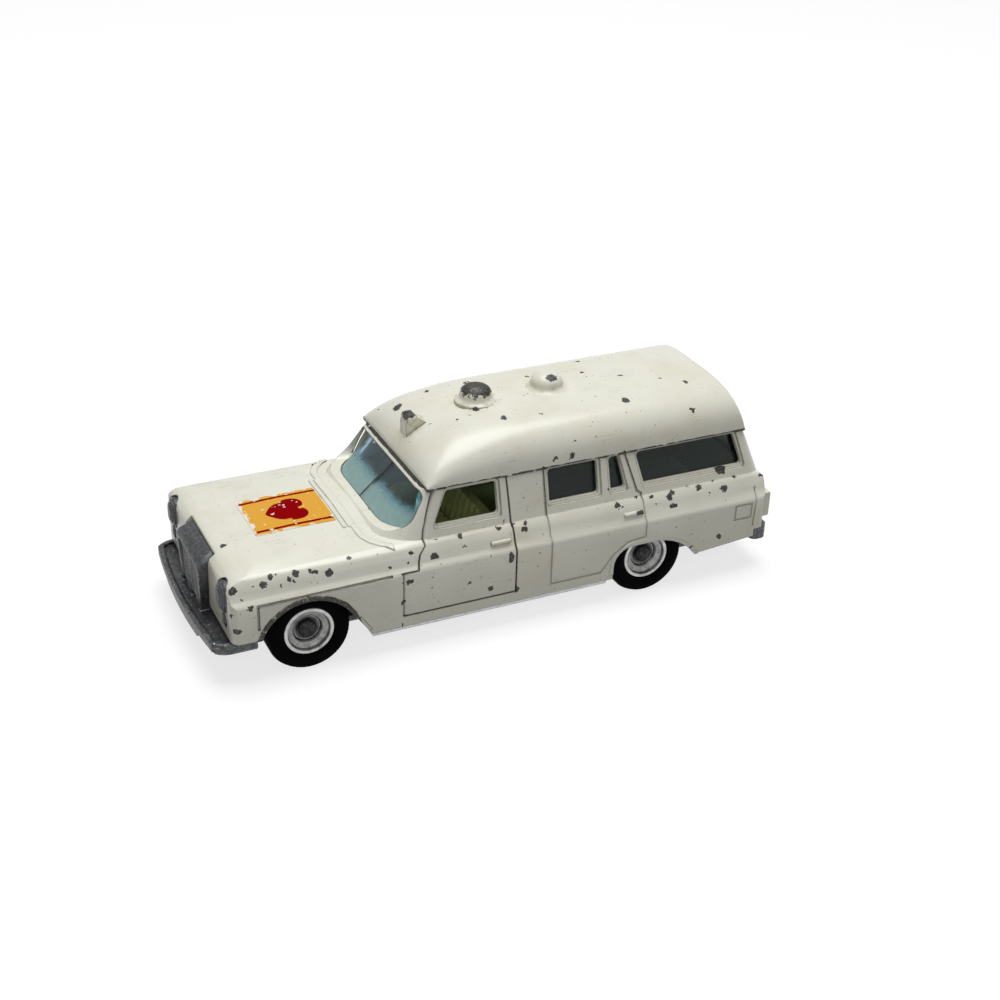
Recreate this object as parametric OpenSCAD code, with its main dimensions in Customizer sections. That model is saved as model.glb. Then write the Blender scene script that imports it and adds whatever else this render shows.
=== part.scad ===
// Toy ambulance: a die-cast long-roof estate with opening doors and tailgate.
// Millimetres. +X is forward, +Y is the left side, +Z is up, the tyres stand on z = 0.

/* [Body] */
// Width over the body sides
body_width = 39.4; // [38.4:0.1:42]
// Thickness of the cast walls
wall = 1.2; // [1:0.05:1.4]
// Height of the lower edge of the sills
sill_z = 4.7; // [4.3:0.1:5.2]
// Height of the crease along the sides
crease_z = 15.2; // [14.8:0.1:15.6]
// Height of the belt line
belt_z = 19.4; // [18.8:0.1:20.2]
// Height of the bonnet along its middle
bonnet_z = 20.1; // [19.8:0.1:20.9]
// Body nose behind the front of the bumper
nose_setback = 4; // [3.4:0.1:4.6]
// Body tail ahead of the back of the bumper
tail_setback = 1.6; // [1.2:0.1:2]
// Radius of the front corners seen from above
corner_r = 1.6; // [1:0.1:2.4]
// Radius of the rear corners seen from above
tail_corner_r = 1.2; // [0.8:0.1:2]
// Edge of the raised bonnet panel inside the body side
panel_inset = 9.2; // [7.8:0.1:10.6]

/* [Greenhouse and roof] */
// Greenhouse inside the body side at the belt
belt_inset = 2.95; // [2.7:0.05:3.4]
// Greenhouse inside the body side under the gutter
gutter_inset = 4.95; // [4.5:0.05:5.4]
// Height of the gutter
gutter_z = 27.4; // [26.8:0.1:28.2]
// Height of the roof crown
roof_z = 35; // [34:0.1:36]
// Gutter overhang
gutter_lip = 0.3; // [0.2:0.05:0.5]
// Height of the gutter strip
gutter_h = 0.45; // [0.3:0.05:0.6]
// Distance in which the roof front reaches full height
roof_run = 20; // [16:0.5:24]
// Foot of the windscreen ahead of the door hinge
cowl_lead = 3.9; // [3.4:0.1:4.4]
// Backward run of the windscreen from belt to gutter
screen_run = 9.1; // [8.6:0.1:9.6]
// Backward lean of the tail per unit of height
tail_lean = 0.334; // [0.26:0.01:0.38]

/* [Roof lamps] */
// Front dome behind the roof's front edge
dome_1_setback = 15.4; // [13.4:0.1:17.4]
// Diameter of the front dome's foot
dome_1_d = 7.5; // [6.5:0.1:8.5]
// Rear dome behind the front dome
dome_pitch = 13.8; // [12:0.1:16]
// Diameter of the rear dome's foot
dome_2_d = 7.7; // [7:0.1:9]
// Height of a dome above the roof crown
dome_h = 2.8; // [2.4:0.1:3.4]
// Width of the front spot lamp
spot_w = 2.8; // [2:0.1:3.4]
// Height of the front spot lamp above the ground
spot_z = 34.7; // [34:0.1:35.4]

/* [Front doors] */
// Hinge axis behind the front axle
hinge_setback = 17.3; // [16.8:0.1:17.8]
// Hinge axis inside the body side
hinge_inset = 1.5; // [1.4:0.05:1.7]
// Reach of the door from its hinge to its rear edge
door_reach = 19.9; // [18.9:0.1:20.6]
// Height of the door's lower edge
door_low = 6.9; // [6.6:0.1:7.4]
// Height of the hinge step in the door's front edge
door_step_z = 14.8; // [14.4:0.1:15]
// Gap round an opening panel
panel_gap = 0.25; // [0.2:0.05:0.35]
// Diameter of the hinge pegs
peg_d = 0.9; // [0.7:0.05:1]
// Length of the upper hinge peg
peg_top = 0.8; // [0.6:0.05:0.9]
// Length of the lower hinge peg
peg_low = 1.3; // [1:0.1:1.6]
// Play between a pin or axle and its hole, on the radius
play = 0.05; // [0.03:0.01:0.08]

/* [Side windows and scribed rear doors] */
// Height of the lower window edge
window_low = 20.8; // [20.4:0.1:21.2]
// Height of the upper window edge
window_top = 26.6; // [26:0.1:26.8]
// Corner radius of the windows
window_r = 0.6; // [0.3:0.05:0.9]
// Depth of the bevelled window frames
frame_depth = 0.4; // [0.2:0.05:0.6]
// Width of the bevelled window frames
frame_w = 0.55; // [0.3:0.05:0.7]
// Blank panel between the doors
pillar_panel = 6.85; // [6:0.05:7.5]
// Front edge of the scribed rear door to the rear axle
rear_door_run = 19.75; // [18:0.05:22]
// Width of the scribed lines
scribe_w = 0.35; // [0.2:0.05:0.5]
// Depth of the scribed lines
scribe_depth = 0.3; // [0.2:0.05:0.4]

/* [Tailgate] */
// Side of the tailgate inside the gutter
tailgate_inset = 2.15; // [1.95:0.05:3.15]
// Height of the tailgate hinge on the outside
tailgate_hinge_z = 29.8; // [29.2:0.1:30]
// Hinge axis inside the tail surface
tailgate_hinge_inset = 1.2; // [1.1:0.05:1.4]
// Height of the tailgate's lower edge
tailgate_low = 9.4; // [9:0.1:10.4]
// Diameter of the tailgate pegs
tailgate_peg_d = 1.2; // [1:0.05:1.4]
// Length of the tailgate pegs
tailgate_peg = 1.1; // [0.9:0.05:1.2]

/* [Wheels] */
// Diameter of the tyres
tyre_d = 14.4; // [13.8:0.1:14.8]
// Width of the tyres
tyre_w = 5; // [4.4:0.1:5.2]
// Outer face of the tyres inside the body side
tyre_inset = 0.9; // [0.8:0.05:1.2]
// Diameter of the hubs
hub_d = 9; // [8.4:0.1:9.6]
// Diameter of the axles
axle_d = 2; // [1.6:0.1:2.2]
// Diameter of the headed axle ends
axle_head_d = 3.2; // [2.9:0.1:3.4]
// Front of the bumper to the front axle
front_overhang = 17.3; // [16.6:0.1:18]
// Rear axle to the back of the rear bumper
rear_overhang = 25.9; // [24:0.1:28]
// Radius of the front wheel arches
arch_r = 8.7; // [8.5:0.1:9.2]
// Top of the front wheel arches
arch_top = 13.8; // [13.5:0.1:14.4]
// Top of the rear wheel arches
rear_arch_top = 10.8; // [10.4:0.1:11.4]
// Width of the lip round the wheel arches
arch_lip = 0.7; // [0.4:0.1:0.9]

/* [Base] */
// Height of the underside of the base
base_z = 3.6; // [3.2:0.1:4]
// Side of the base between the wheels inside the body side
base_inset = 6.7; // [6.5:0.05:7.4]
// Height of the bumper's upper edge
bumper_top = 8; // [7.6:0.1:8.4]
// Height of the bumper's lower edge
bumper_low = 5.7; // [5.3:0.1:6]
// Bumper ends inside the body side
bumper_inset = 1.2; // [0.9:0.1:1.5]
// Bow of the front bumper from its ends to its middle
bumper_bow = 1.3; // [0.8:0.1:1.8]
// Half width of the grille at its top
grille_half = 6.8; // [6.2:0.1:7.2]
// Height of the grille
grille_top = 18.2; // [17.9:0.1:18.3]
// Number of bars in the grille
grille_bars = 13; // [7:1:17]
// Head lamps inside the body side
lamp_inset = 4.7; // [4.4:0.1:5.1]
// Height of the head lamps
lamp_z = 15.3; // [15:0.1:15.5]
// Width of the head lamps
lamp_d = 4.2; // [3.6:0.1:4.4]
// Height of the oval head lamps above their width
lamp_tall = 1.2; // [0.8:0.1:1.4]
// Diameter of the rivet shanks
rivet_d = 2.2; // [1.8:0.1:2.6]
// Diameter of the rivet heads
rivet_head_d = 4; // [3.4:0.1:4.4]

/* [Inside] */
// Thickness of the clear mouldings
glass_t = 0.9; // [0.7:0.05:1.1]
// Thickness of the plastic floor
floor_t = 1; // [0.8:0.1:1.3]
// End of the bench seat inside the body side
seat_inset = 6.7; // [6.3:0.1:7.7]
// Height of the seat cushion above the floor
cushion_h = 3.4; // [2.8:0.1:4]
// Height of the top of the seat back
seat_top = 19; // [18:0.1:20]
// Ribs across the seat
seat_ribs = 13; // [7:2:17]
// Diameter of the steering wheel
steering_d = 5.4; // [4.6:0.1:6]
// Length of the stretcher
stretcher_l = 32; // [28:0.5:34]
// Width of the stretcher
stretcher_w = 11; // [9:0.1:13]
// Length of the bonnet label
label_l = 14; // [12:0.1:15]
// Width of the bonnet label
label_w = 12.4; // [11:0.1:14]
// Thickness of the bonnet label
label_t = 0.1; // [0.06:0.01:0.14]

/* [Hidden] */
$fn = 48;

// Overall places
wheelbase = hinge_setback + door_reach + pillar_panel + rear_door_run;
overall_length = front_overhang + wheelbase + rear_overhang;
half = body_width / 2;
front_x = overall_length / 2;
rear_x = -front_x;
nose_x = front_x - nose_setback;
tail_x = rear_x + tail_setback;
nose_z = bonnet_z - 1.5;
front_axle_x = front_x - front_overhang;
rear_axle_x = front_axle_x - wheelbase;
axle_z = tyre_d / 2;
tyre_r = tyre_d / 2;
tyre_face = half - tyre_inset;
hinge_x = front_axle_x - hinge_setback;
cowl_x = hinge_x + cowl_lead;
header_x = cowl_x - screen_run;
dome_1_x = header_x - dome_1_setback;
panel_half = half - panel_inset;
belt_half = half - belt_inset;
gutter_half = half - gutter_inset;
roof_half = gutter_half + gutter_lip;
beyond = 40;
skin = 0.6;

// Front door hinge and edges
hinge_y = half - hinge_inset;
door_rear_x = hinge_x - door_reach;
door_top = gutter_z - gutter_h;
peg_r = peg_d / 2;
knuckle_r = hinge_inset;
step_r = hinge_inset + 0.85;
door_pillar = 0.3;

// Scribed rear door and rear windows
rear_door_x = door_rear_x - pillar_panel;
rear_door_end = rear_axle_x + 1;
handle_z = crease_z + 1.4;
handle_l = 3.7;
handle_r = 0.4;
handle_in = 1.15;

// Tailgate
kink_z = belt_z - 1;
tailgate_half = gutter_half - tailgate_inset;
tail_normal = [-1, tail_lean] / norm([1, tail_lean]);
tailgate_foot = [tail_at(tailgate_hinge_z), tailgate_hinge_z];
tailgate_axis = tailgate_foot - tailgate_hinge_inset * tail_normal;
tailgate_peg_r = tailgate_peg_d / 2;
tailgate_reach = norm([tail_x, tailgate_low] - tailgate_axis);

// Base and inside
base_half = half - base_inset;
lamp_y = half - lamp_inset;
floor_z = axle_z + axle_d / 2 + 0.7;
floor_top = floor_z + floor_t;
front_rivet_x = cowl_x + 2;
rear_rivet_inset = 5.5;
rear_rivet_x = tail_x + rear_rivet_inset;
rivet_seat = 3.4;
post_r = rivet_d / 2 + 1;
glass_gap = 0.1;
seat_x = door_rear_x + 3;
seat_half = half - seat_inset;
dash_x = hinge_x - 1.5;
dash_t = 2.4;
label_x = front_axle_x - 2.4;

// Points on an arc round c, from angle a0 to a1
function arc(c, r, a0, a1, n) = [
    for (i = [0:n])
        let (a = a0 + (a1 - a0) * i / n)
            c + r * [cos(a), sin(a)]
];

function unit(v) = v / norm(v);

// Fillet of radius r in the corner a, b, c
function corner_arc(a, b, c, r, n) =
    let (
        u = unit(a - b),
        v = unit(c - b),
        turn = acos(u * v) / 2,
        centre = b + unit(u + v) * r / sin(turn),
        p = b + u * r / tan(turn) - centre,
        q = b + v * r / tan(turn) - centre,
        from = atan2(p.y, p.x),
        step = atan2(q.y, q.x) - from,
        sweep = step > 180 ? step - 360 : step < -180 ? step + 360 : step
    )
        arc(centre, r, from, from + sweep, n);

// A closed outline with every corner rounded
function rounded(pts, r, n = 4) =
    let (k = len(pts))
        [for (i = [0:k - 1]) each corner_arc(pts[(i + k - 1) % k], pts[i], pts[(i + 1) % k], r, n)];

// A half outline in y and z, completed on the other side of y = 0
function both_halves(pts) =
    let (k = len(pts))
        concat(pts, [for (i = [k - 1:-1:0]) [-pts[i].x, pts[i].y]]);

// Straight prism along X of an outline in y and z
module along_x(x0, x1) {
    translate([x0, 0, 0])
        rotate([90, 0, 90])
            linear_extrude(x1 - x0) children();
}

// Straight prism along Y of an outline in x and z
module along_y(y0, y1) {
    translate([0, y1, 0])
        rotate([90, 0, 0])
            linear_extrude(y1 - y0) children();
}

// Cylinder along Y
module rod_y(x, z, r, y0, y1) {
    translate([x, y1, z])
        rotate([90, 0, 0])
            cylinder(r = r, h = y1 - y0);
}

// Cylinder along X
module rod_x(y, z, r, x0, x1) {
    translate([x0, y, z])
        rotate([0, 90, 0])
            cylinder(r = r, h = x1 - x0);
}

// A block between two corners
module block(a, b) {
    translate(a) cube(b - a);
}

module both_sides() {
    children();
    mirror([0, 1, 0]) children();
}

// A straight stroke between two points in a plane
module stroke(p, q, w) {
    d = q - p;
    translate(p)
        rotate(atan2(d.y, d.x))
            translate([-w / 2, -w / 2])
                square([norm(d) + w, w]);
}

module strokes(pts, w) {
    for (i = [0:len(pts) - 2]) stroke(pts[i], pts[i + 1], w);
}

// Outer form of the lower body, set in by t all round

crease_step = 0.3;
shoulder_in = 2.1;
crown_in = 3;

function lower_half(t) = [
    [half - t, 0],
    [half - t, crease_z - 2 * crease_step],
    [half - crease_step - t, crease_z],
    [half - 3 * crease_step - t, crease_z + 2 * crease_step],
    [half - shoulder_in * 0.7 - t, (crease_z + belt_z) / 2],
    [half - shoulder_in - t, belt_z - 0.9 - t / 2],
    [half - crown_in - t, belt_z - 0.3 - t],
    [panel_half + 1, belt_z + 0.05 - t],
    [panel_half, belt_z + 0.3 - t],
    [0, bonnet_z - t]
];

function lower_profile(t) = [
    [tail_x + t, 0],
    [nose_x - t, 0],
    [nose_x - t, nose_z - 1.6],
    [nose_x - 0.35 - t, nose_z - 0.8 - t / 2],
    [nose_x - 1.2 - t, nose_z - 0.1 - t],
    [nose_x - 3 - t, nose_z + 0.4 - t],
    [nose_x - 9, nose_z + 1.1 - t],
    [cowl_x, bonnet_z + 0.15 - t],
    [tail_x + 6, bonnet_z + 0.15 - t],
    [tail_x + 3, belt_z - 0.1 - t],
    [tail_x + 1 + t, belt_z - 0.5 - t],
    [tail_x + t, kink_z - t]
];

function plan_outline(t) =
    let (
        a = [nose_x - t, t - half],
        b = [nose_x - t, half - t],
        c = [tail_x + t, half - t],
        d = [tail_x + t, t - half]
    )
        concat(
            corner_arc(d, a, b, corner_r, 6),
            corner_arc(a, b, c, corner_r, 6),
            corner_arc(b, c, d, tail_corner_r, 6),
            corner_arc(c, d, a, tail_corner_r, 6)
        );

module lower_solid(t) {
    intersection() {
        along_x(rear_x - 1, front_x + 1) polygon(both_halves(lower_half(t)));
        along_y(-half - 1, half + 1) polygon(lower_profile(t));
        linear_extrude(roof_z) polygon(plan_outline(t));
    }
}

// Greenhouse between belt and gutter, set in by t

screen_sweep = 9;
screen_round = 7.6;

function rise(z) = (z - belt_z) / (gutter_z - belt_z);
function green_half(z) = belt_half + (gutter_half - belt_half) * rise(z);
function green_front(z) = cowl_x - screen_run * rise(z);
function tail_at(z) = tail_x + tail_lean * (z - kink_z);

function green_side(z, t) =
    let (
        w = green_half(z) - t,
        x = green_front(z) - 1.4 * t,
        corner_x = screen_sweep - 6.2 * rise(z),
        corner_y = screen_round - 5 * rise(z)
    )
        concat(
            [for (i = [0:6]) [x - corner_x * (1 - cos(15 * i)), w - corner_y * (1 - sin(15 * i))]],
            arc([tail_at(z) + t + 2, w - 2], 2, 90, 180, 3)
        );

function green_outline(z, t) =
    let (side = green_side(z, t), k = len(side))
        concat(side, [for (i = [k - 1:-1:0]) [side[i].x, -side[i].y]]);

module green_slice(z, t) {
    translate([0, 0, z]) linear_extrude(0.01) polygon(green_outline(z, t));
}

module greenhouse(t, from_z) {
    hull() {
        green_slice(from_z, t);
        green_slice(gutter_z, t);
    }
}

// Roof above the gutter: superellipse sections that grow back from the header

roof_steps = 10;
roof_arcs = 24;
roof_square = 3.8;
roof_fullness = 0.9;

function roof_rise(x, t) =
    (roof_z - gutter_z - t)
    * sqrt(1 - pow(1 - min(1, max(0.004, (header_x - t - x) / roof_run)), 2.2));

function roof_section(h, w, x, low) =
    let (sharp = roof_square + 1.2 * max(0, 1 - (header_x - x) / roof_steps))
        concat(
            [[w, low]],
            [for (i = [0:roof_arcs])
                let (a = 180 * i / roof_arcs, c = cos(a))
                    [sign(c) * w * pow(abs(c), 2 / sharp), gutter_z + h * pow(abs(sin(a)), roof_fullness)]],
            [[-w, low]]
        );

function roof_ring(x, t, low) = [
    for (p = roof_section(roof_rise(x, t), roof_half - t, x, low)) [x, p.x, p.y]
];

// A section in the leaning plane of the tail
function tail_ring(t, ahead, less, low) = [
    for (p = roof_section(roof_z - gutter_z - t - less, roof_half - t - less, tail_x, low))
        [tail_at(p.y) + ahead, p.x, p.y]
];

function roof_station(i, t) =
    let (
        run_end = header_x - t - roof_run,
        back_end = tail_at(roof_z) + 2 * tail_setback + t
    )
        i <= roof_steps
            ? header_x - t - roof_run * pow(i / roof_steps, 2)
            : run_end + (back_end - run_end) * (i - roof_steps) / 3;

module roof(t, low) {
    rings = concat(
        [for (i = [0:roof_steps + 3]) roof_ring(roof_station(i, t), t, low)],
        [tail_ring(t, t + 0.9, 0, low), tail_ring(t, t + 0.25, 0.15, low), tail_ring(t, t, 0.6, low)]
    );
    m = len(rings[0]);
    last = len(rings) - 1;
    points = [for (r = rings) each r];
    sides = [
        for (i = [0:last - 1], j = [0:m - 1])
            let (a = i * m + j, b = i * m + (j + 1) % m)
                each [[a, b, b + m], [a, b + m, a + m]]
    ];
    front_cap = [for (j = [m - 1:-1:0]) j];
    back_cap = [for (j = [0:m - 1]) last * m + j];
    polyhedron(points, concat(sides, [front_cap, back_cap]));
}

module body_outer() {
    lower_solid(0);
    greenhouse(0, belt_z - 1);
    roof(0, gutter_z - gutter_h);
}

module body_cavity() {
    lower_solid(wall);
    greenhouse(wall, belt_z - 4);
    roof(wall, gutter_z - 1);
}

// Wheel arches and the lower edge of the body

arch_skirt = 10.7;
arch_lead = 0.3;
skirt_top = 5.2;
skirt_lead = 0.7;

// Front wheel arch with its sloping skirt, grown all round
module front_arch(grow) {
    translate([front_axle_x + arch_lead, arch_top - arch_r]) circle(r = arch_r + grow);
    polygon([
        [front_axle_x, -1],
        [front_axle_x, arch_top - arch_r],
        [front_axle_x - arch_r + skirt_lead - grow, arch_top - skirt_top],
        [front_axle_x - arch_skirt - grow, sill_z],
        [front_axle_x - arch_skirt - grow, -1]
    ]);
}

rear_arch_front = 7.3;
rear_arch_back = 11;

module rear_arch(grow) {
    corner = rear_arch_front / 2;
    top = rear_arch_top + grow;
    translate([rear_axle_x, 0])
        polygon(concat(
            [[-rear_arch_back - grow, 0], [rear_arch_front + grow, 0]],
            arc([rear_arch_front - corner, rear_arch_top - corner], corner + grow, 0, 85, 6),
            arc([-0.6, rear_arch_top - rear_arch_back], rear_arch_back + grow, 88, 152, 8)
        ));
}

module under_edge() {
    front_arch(0);
    rear_arch(0);
    polygon([
        [rear_axle_x, -1],
        [rear_axle_x, sill_z],
        [rear_axle_x - rear_arch_back + 0.6, sill_z + 1.5],
        [tail_x + 3, sill_z + 2.4],
        [rear_x - beyond, sill_z + 2.6],
        [rear_x - beyond, -1]
    ]);
}

// Room for the base and both bumpers, right across the body
module base_room() {
    translate([rear_x, -1]) square([overall_length, sill_z + 1]);
    translate([front_axle_x, -1]) square([beyond, bumper_top + 1 + panel_gap]);
    translate([tail_x + wall + 1 - beyond, -1]) square([beyond, bumper_top + 1.4 + panel_gap]);
}

// Side window outlines, in x and z

door_window_lead = [6, 8.7];
door_window_rear = 2;
door_window_drop = 0.2;
rear_window_lead = 1;
rear_window_end = 9.2;
vent_front = [6.7, 6.8];
vent_back = [5, 3.8];
quarter_lead = [0, 1.4];
quarter_end = [2.9, 3.1];

function door_window() = [
    [hinge_x - door_window_lead[0], window_low],
    [hinge_x - door_window_lead[1], window_top - door_window_drop],
    [door_rear_x + door_window_rear, window_top - door_window_drop],
    [door_rear_x + door_window_rear, window_low]
];

function rear_door_window() = [
    [rear_door_x - rear_window_lead, window_low],
    [rear_door_x - rear_window_lead, window_top],
    [rear_axle_x + rear_window_end, window_top],
    [rear_axle_x + rear_window_end, window_low]
];

function vent_window() = [
    [rear_axle_x + vent_front[0], window_low],
    [rear_axle_x + vent_front[1], window_top],
    [rear_axle_x + vent_back[0], window_top],
    [rear_axle_x + vent_back[1], window_low]
];

function quarter_window() = [
    [rear_axle_x + quarter_lead[0], window_low],
    [rear_axle_x + quarter_lead[1], window_top],
    [tail_at(window_top) + quarter_end[0], window_top],
    [tail_at(window_low) + quarter_end[1], window_low]
];

// The same outline grown or shrunk about its middle by w each way
function grown(pts, w) =
    let (
        xs = [for (p = pts) p.x],
        ys = [for (p = pts) p.y],
        mid = [max(xs) + min(xs), max(ys) + min(ys)] / 2,
        span = [max(xs) - min(xs), max(ys) - min(ys)]
    )
        [for (p = pts) [
            mid.x + (p.x - mid.x) * (1 + 2 * w / span.x),
            mid.y + (p.y - mid.y) * (1 + 2 * w / span.y)
        ]];

module window_cuts(outlines) {
    for (o = outlines) {
        both_sides() along_y(gutter_half / 2, half + 1) polygon(rounded(o, window_r));
    }
}

// The bevelled surround, cut a little way into the skin
module frame_cuts(outlines) {
    difference() {
        for (o = outlines) {
            both_sides() along_y(gutter_half / 2, half + 1) polygon(rounded(grown(o, frame_w), window_r));
        }
        greenhouse(frame_depth, belt_z - 1);
    }
}

screen_foot = 0.8;
screen_head = 0.85;
screen_pillar_low = 1.2;
screen_pillar_top = 0.7;
screen_r = 1.8;

module screen_cut() {
    low = belt_z + screen_foot;
    top = gutter_z - screen_head;
    wide = belt_half - screen_pillar_low;
    narrow = gutter_half - screen_pillar_top;
    along_x(header_x - 3.5, front_axle_x)
        polygon(rounded([
            [narrow, top],
            [-narrow, top],
            [-wide, low],
            [wide, low]
        ], screen_r, 6));
}

// Lines scribed in the sides

module scribed_lines() {
    arch = rear_arch_top + 1.3;
    strokes([
        [rear_door_x, gutter_z],
        [rear_door_x, door_low - 0.3],
        [rear_axle_x + 9.8, door_low - 0.3],
        [rear_axle_x + 7.6, arch - 2.6],
        [rear_axle_x + 4.6, arch - 0.4],
        [rear_door_end, arch],
        [rear_door_end, belt_z],
        [rear_axle_x + 1.8, belt_z + 0.7],
        [rear_axle_x + 3.9, gutter_z]
    ], scribe_w);
    strokes([[tail_x + 2.6, crease_z - 5.6], [tail_x + 2.2, crease_z + 1.5]], scribe_w);
    strokes([
        [nose_x - 4.5, crease_z - 4.8],
        [nose_x - 4.5, crease_z - 0.5],
        [hinge_x + 3, crease_z - 0.3]
    ], scribe_w);
    flap_low = crease_z - 3.8;
    flap_top = crease_z - 1;
    strokes([
        [tail_x + 3.2, flap_low],
        [tail_x + 6.6, flap_low],
        [tail_x + 6.6, flap_top],
        [tail_x + 3.2, flap_top],
        [tail_x + 3.2, flap_low]
    ], scribe_w);
}

module scribe_cuts() {
    difference() {
        both_sides() along_y(gutter_half / 2, half + 1) scribed_lines();
        lower_solid(scribe_depth);
        greenhouse(scribe_depth, belt_z - 1);
    }
}

// Front door: all its edges are round about the hinge, so that it swings clear

// Reach of the door's front edge from the hinge: gutter, mid window, window foot, belt, shoulder
door_front = [7.6, 5.75, 4.55, 3.9, 2.7];

function door_edge(gap) = [
    [0, door_low - gap],
    [door_reach + gap, door_low - gap],
    [door_reach + gap, door_top + gap],
    [door_front[0] - gap, door_top + gap],
    [door_front[1] - gap, (belt_z + gutter_z) / 2],
    [door_front[2] - gap, belt_z + 1.2],
    [door_front[3] - gap, belt_z - 1.1],
    [door_front[4] - gap, belt_z - 2.2],
    [step_r - gap, crease_z + 0.9],
    [step_r - gap, door_step_z + gap],
    [0, door_step_z + gap]
];

// The band along the left side that the door may take
module door_band(gap) {
    deep = wall + door_pillar + gap;
    along_x(door_rear_x - 1, hinge_x)
        polygon([
            [half + 1, 0],
            [half + 1, roof_z],
            [gutter_half - deep, roof_z],
            [gutter_half - deep, gutter_z],
            [belt_half - deep, belt_z],
            [belt_half - deep, 0]
        ]);
}

// The room that the left door takes in the shell
module door_room(gap) {
    intersection() {
        translate([hinge_x, hinge_y, 0]) rotate_extrude() polygon(door_edge(gap));
        door_band(gap);
    }
    translate([hinge_x, hinge_y, 0]) {
        translate([0, 0, door_low - gap])
            cylinder(r = knuckle_r + gap, h = door_step_z - door_low + 2 * gap);
    }
}

module door_pegs(r, more) {
    translate([hinge_x, hinge_y, door_low - peg_low - more])
        cylinder(r = r, h = door_step_z - door_low + peg_low + peg_top + 2 * more);
}

module handle(x) {
    rod_x(half - handle_in, handle_z, handle_r, x, x + handle_l);
}

module door() {
    color("ivory") {
        difference() {
            intersection() {
                difference() {
                    union() {
                        lower_solid(0);
                        greenhouse(0, belt_z - 1);
                    }
                    lower_solid(wall);
                    greenhouse(wall, belt_z - 4);
                }
                door_room(0);
            }
            window_cuts([door_window()]);
            frame_cuts([door_window()]);
        }
        intersection() {
            translate([hinge_x, hinge_y, door_low])
                cylinder(r = knuckle_r, h = door_step_z - door_low);
            lower_solid(0);
        }
        door_pegs(peg_r, 0);
        handle(door_rear_x + 0.7);
    }
}

module left_door() {
    door();
}

module right_door() {
    mirror([0, 1, 0]) door();
}

// Tailgate: a bent plate that turns on pegs at its top edge

function tailgate_outline(t, low) = [
    tailgate_foot + t * tail_normal,
    [tail_x - t, kink_z + t / 2],
    [tail_x - t, low],
    [tail_x + wall + t, low],
    [tail_x + wall + t, kink_z],
    tailgate_foot - (wall + t) * tail_normal
];

module tailgate_pegs(r, reach) {
    rod_y(tailgate_axis.x, tailgate_axis.y, r, -reach, reach);
}

module tailgate_opening() {
    w = tailgate_half + panel_gap;
    intersection() {
        along_y(-w, w)
            polygon([
                tailgate_foot + beyond * tail_normal,
                [tail_x - beyond, 0],
                [tail_x + 2 * wall, 0],
                [tail_x + 2 * wall, kink_z],
                tailgate_foot - 2 * wall * tail_normal
            ]);
        rod_y(tailgate_axis.x, tailgate_axis.y, tailgate_reach + panel_gap, -w, w);
    }
    tailgate_pegs(tailgate_hinge_inset + panel_gap, w);
}

tailgate_frame = 2.8;
tailgate_window_low = window_low + 0.6;
tailgate_window_top = window_top + 0.8;
tailgate_window_half = tailgate_half - tailgate_frame;

module tailgate() {
    color("ivory") {
        difference() {
            intersection() {
                along_y(-tailgate_half, tailgate_half) polygon(tailgate_outline(0, 0));
                rod_y(tailgate_axis.x, tailgate_axis.y, tailgate_reach, -tailgate_half, tailgate_half);
            }
            along_x(rear_x - 1, tail_at(roof_z) + beyond)
                polygon(rounded([
                    [-tailgate_window_half, tailgate_window_top],
                    [tailgate_window_half, tailgate_window_top],
                    [tailgate_window_half, tailgate_window_low],
                    [-tailgate_window_half, tailgate_window_low]
                ], 1.2));
        }
        tailgate_pegs(tailgate_hinge_inset, tailgate_half);
        tailgate_pegs(tailgate_peg_r, tailgate_half + tailgate_peg);
        rod_y(tail_x, handle_z, skin, -2.6, 2.6);
        block([tail_x - 0.3, -5, tailgate_low + 1.4], [tail_x + 0.3, 5, tailgate_low + 4.2]);
    }
}

module tailgate_window() {
    color("teal", 0.6)
        along_y(-tailgate_window_half - 1, tailgate_window_half + 1)
            polygon([
                for (p = [
                    [wall + glass_gap, tailgate_window_low - 1],
                    [wall + glass_gap + glass_t, tailgate_window_low - 1],
                    [wall + glass_gap + glass_t, tailgate_window_top + 0.7],
                    [wall + glass_gap, tailgate_window_top + 0.7]
                ])
                    [tail_at(p.y) + p.x * norm([1, tail_lean]), p.y]
            ]);
}

// Body shell

dome_root = 1.2;
dome_flange = 0.9;
dome_side = 1.1;

// A bell-shaped roof lamp on a low flange
module dome(x, d) {
    r = d / 2;
    cap = r - dome_flange;
    translate([x, 0, roof_z - dome_root])
        rotate_extrude()
            polygon(concat(
                [[0, 0], [r, 0], [r, dome_root - 0.1], [r - 0.3, dome_root + 0.15]],
                [[cap + 0.2, dome_root + 0.35], [cap, dome_root + 0.7]],
                [for (a = [0:15:75])
                    [cap * cos(a), dome_root + dome_side + (dome_h - dome_side) * sin(a)]],
                [[0, dome_root + dome_h]]
            ));
}

spot_setback = 1.7;
spot_l = 4.4;

// A spot lamp with an upright face and a back that falls to the roof
module spot_lamp() {
    x = header_x - spot_setback;
    low = gutter_z + 1.6;
    w = spot_w / 2;
    intersection() {
        along_y(-w, w)
            polygon([
                [x - spot_l, low],
                [x, low],
                [x, spot_z - 1.3],
                [x - 0.3, spot_z - 0.4],
                [x - 1, spot_z],
                [x - 1.7, spot_z - 0.2],
                [x - spot_l + 0.5, spot_z - 2.1],
                [x - spot_l, spot_z - 2.9]
            ]);
        along_x(x - spot_l - 1, x + 1)
            polygon(rounded([
                [-w, low - beyond], [w, low - beyond],
                [w, spot_z], [-w, spot_z]
            ], 0.8 * w, 6));
    }
}

tail_lamp_inset = 2.4;
tail_lamp_drop = 2.4;
tail_lamp_half = [1.5, 2.4];
tail_lamp_proud = 1.3;

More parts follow.
